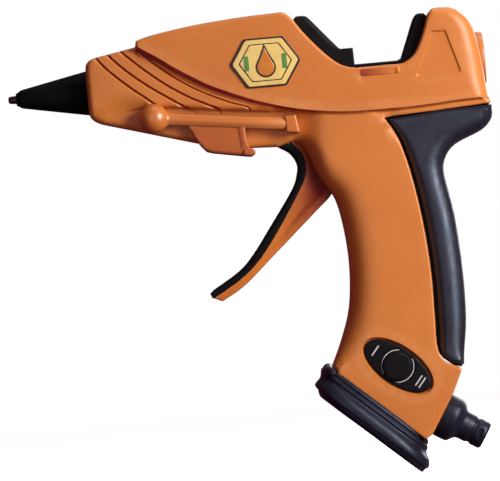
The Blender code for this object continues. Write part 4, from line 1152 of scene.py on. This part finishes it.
def make_stage():
    """A pale floor under the object."""
    low = CAD_BOX[0].z - 0.0005
    reach = 1.4
    corners = [(reach * x, reach * y, low) for x, y in ((-1, -1), (1, -1), (1, 1), (-1, 1))]
    mesh = bpy.data.meshes.new("floor")
    mesh.from_pydata(corners, [], [(0, 1, 2, 3)])
    floor = linked("floor", mesh)
    made = Nodes("pale_floor")
    made.colour(made.blend(made.noise(6, 2), (0.92, 0.92, 0.92), (0.90, 0.90, 0.90)))
    made.set(Roughness=0.9, Specular_IOR_Level=0.1, Emission_Color=(1, 1, 1, 1), Emission_Strength=0.9)
    mesh.materials.append(made.material)
    floor.visible_diffuse = False
    floor.visible_glossy = False


def area_light(name, place_at, aim, size, power, colour):
    light = bpy.data.lights.new(name, "AREA")
    light.shape = "RECTANGLE"
    light.size, light.size_y = size
    light.energy = power
    light.color = colour
    made = linked(name, light)
    made.location = place_at
    made.rotation_euler = (aim - place_at).to_track_quat("-Z", "Y").to_euler()


def make_light():
    """A key light from the right and a little above, weak fill, and a back light for the far side."""
    middle = (CAD_BOX[0] + CAD_BOX[1]) / 2
    low = middle + Vector((0.04, 0, -0.07))
    for name, away, aim, size, power, colour in (
        ("key", (0.62, -0.52, 0.26), middle, (0.30, 0.40), 8.6, (1, 0.985, 0.96)),
        ("front_fill", (-0.35, -1.1, 0.1), middle, (0.7, 0.7), 1.7, (1, 0.86, 0.88)),
        ("top", (0.15, 0.1, 0.85), middle, (0.6, 0.6), 2.6, (1, 1, 1)),
        ("low_fill", (0.34, -0.40, -0.04), low, (0.22, 0.10), 0.3, (1, 0.98, 0.95)),
        ("back", (0.35, 0.85, 0.3), middle, (0.6, 0.6), 6.5, (0.97, 0.98, 1)),
    ):
        area_light(name, middle + Vector(away), aim, size, power, colour)
    world = bpy.data.worlds.new("studio")
    bpy.context.scene.world = world
    world.use_nodes = True
    tree = world.node_tree
    shader = tree.nodes["Background"]
    shader.inputs["Strength"].default_value = 1.0
    ray = tree.nodes.new("ShaderNodeLightPath")
    tone = tree.nodes.new("ShaderNodeMix")
    tone.data_type = "RGBA"
    colours = [s for s in tone.inputs if s.type == "RGBA"]
    colours[0].default_value = (0.092, 0.013, 0.040, 1)
    colours[1].default_value = (1, 1, 1, 1)
    tree.links.new(ray.outputs["Is Camera Ray"], tone.inputs["Factor"])
    tree.links.new([s for s in tone.outputs if s.type == "RGBA"][0], shader.inputs["Color"])
    bpy.context.scene.view_settings.view_transform = "Standard"


def make_camera():
    """A side view from the left, rolled so that the barrel rises to the right."""
    view_width, lens, sensor, near_face = 0.2, 600.0, 36.0, 0.012
    roll = math.radians(5.2)
    aim = place(91.47, 0, -64.7)
    data = bpy.data.cameras.new("view")
    data.lens = lens
    data.sensor_width = sensor
    data.clip_end = 20.0
    camera = linked("view", data)
    camera.location = aim + Vector((0.0, -near_face - view_width * lens / sensor, 0.0))
    right = Vector((math.cos(roll), 0.0, -math.sin(roll)))
    up = Vector((math.sin(roll), 0.0, math.cos(roll)))
    back = Vector((0, -1, 0))
    turn = np.array((right, up, back)).T
    camera.rotation_euler = Matrix(turn.tolist()).to_euler()
    bpy.context.scene.camera = camera


make_camera()
for each in SIDES:
    make_housing(each)
    make_grip(each)
    make_badge(each)
make_grip_bed()
make_saddle()
make_collar()
make_nozzle()
make_trigger()
make_stand()
make_foot()
make_dial()
make_gland()
make_screws()
dress_inner()
make_stage()
make_light()
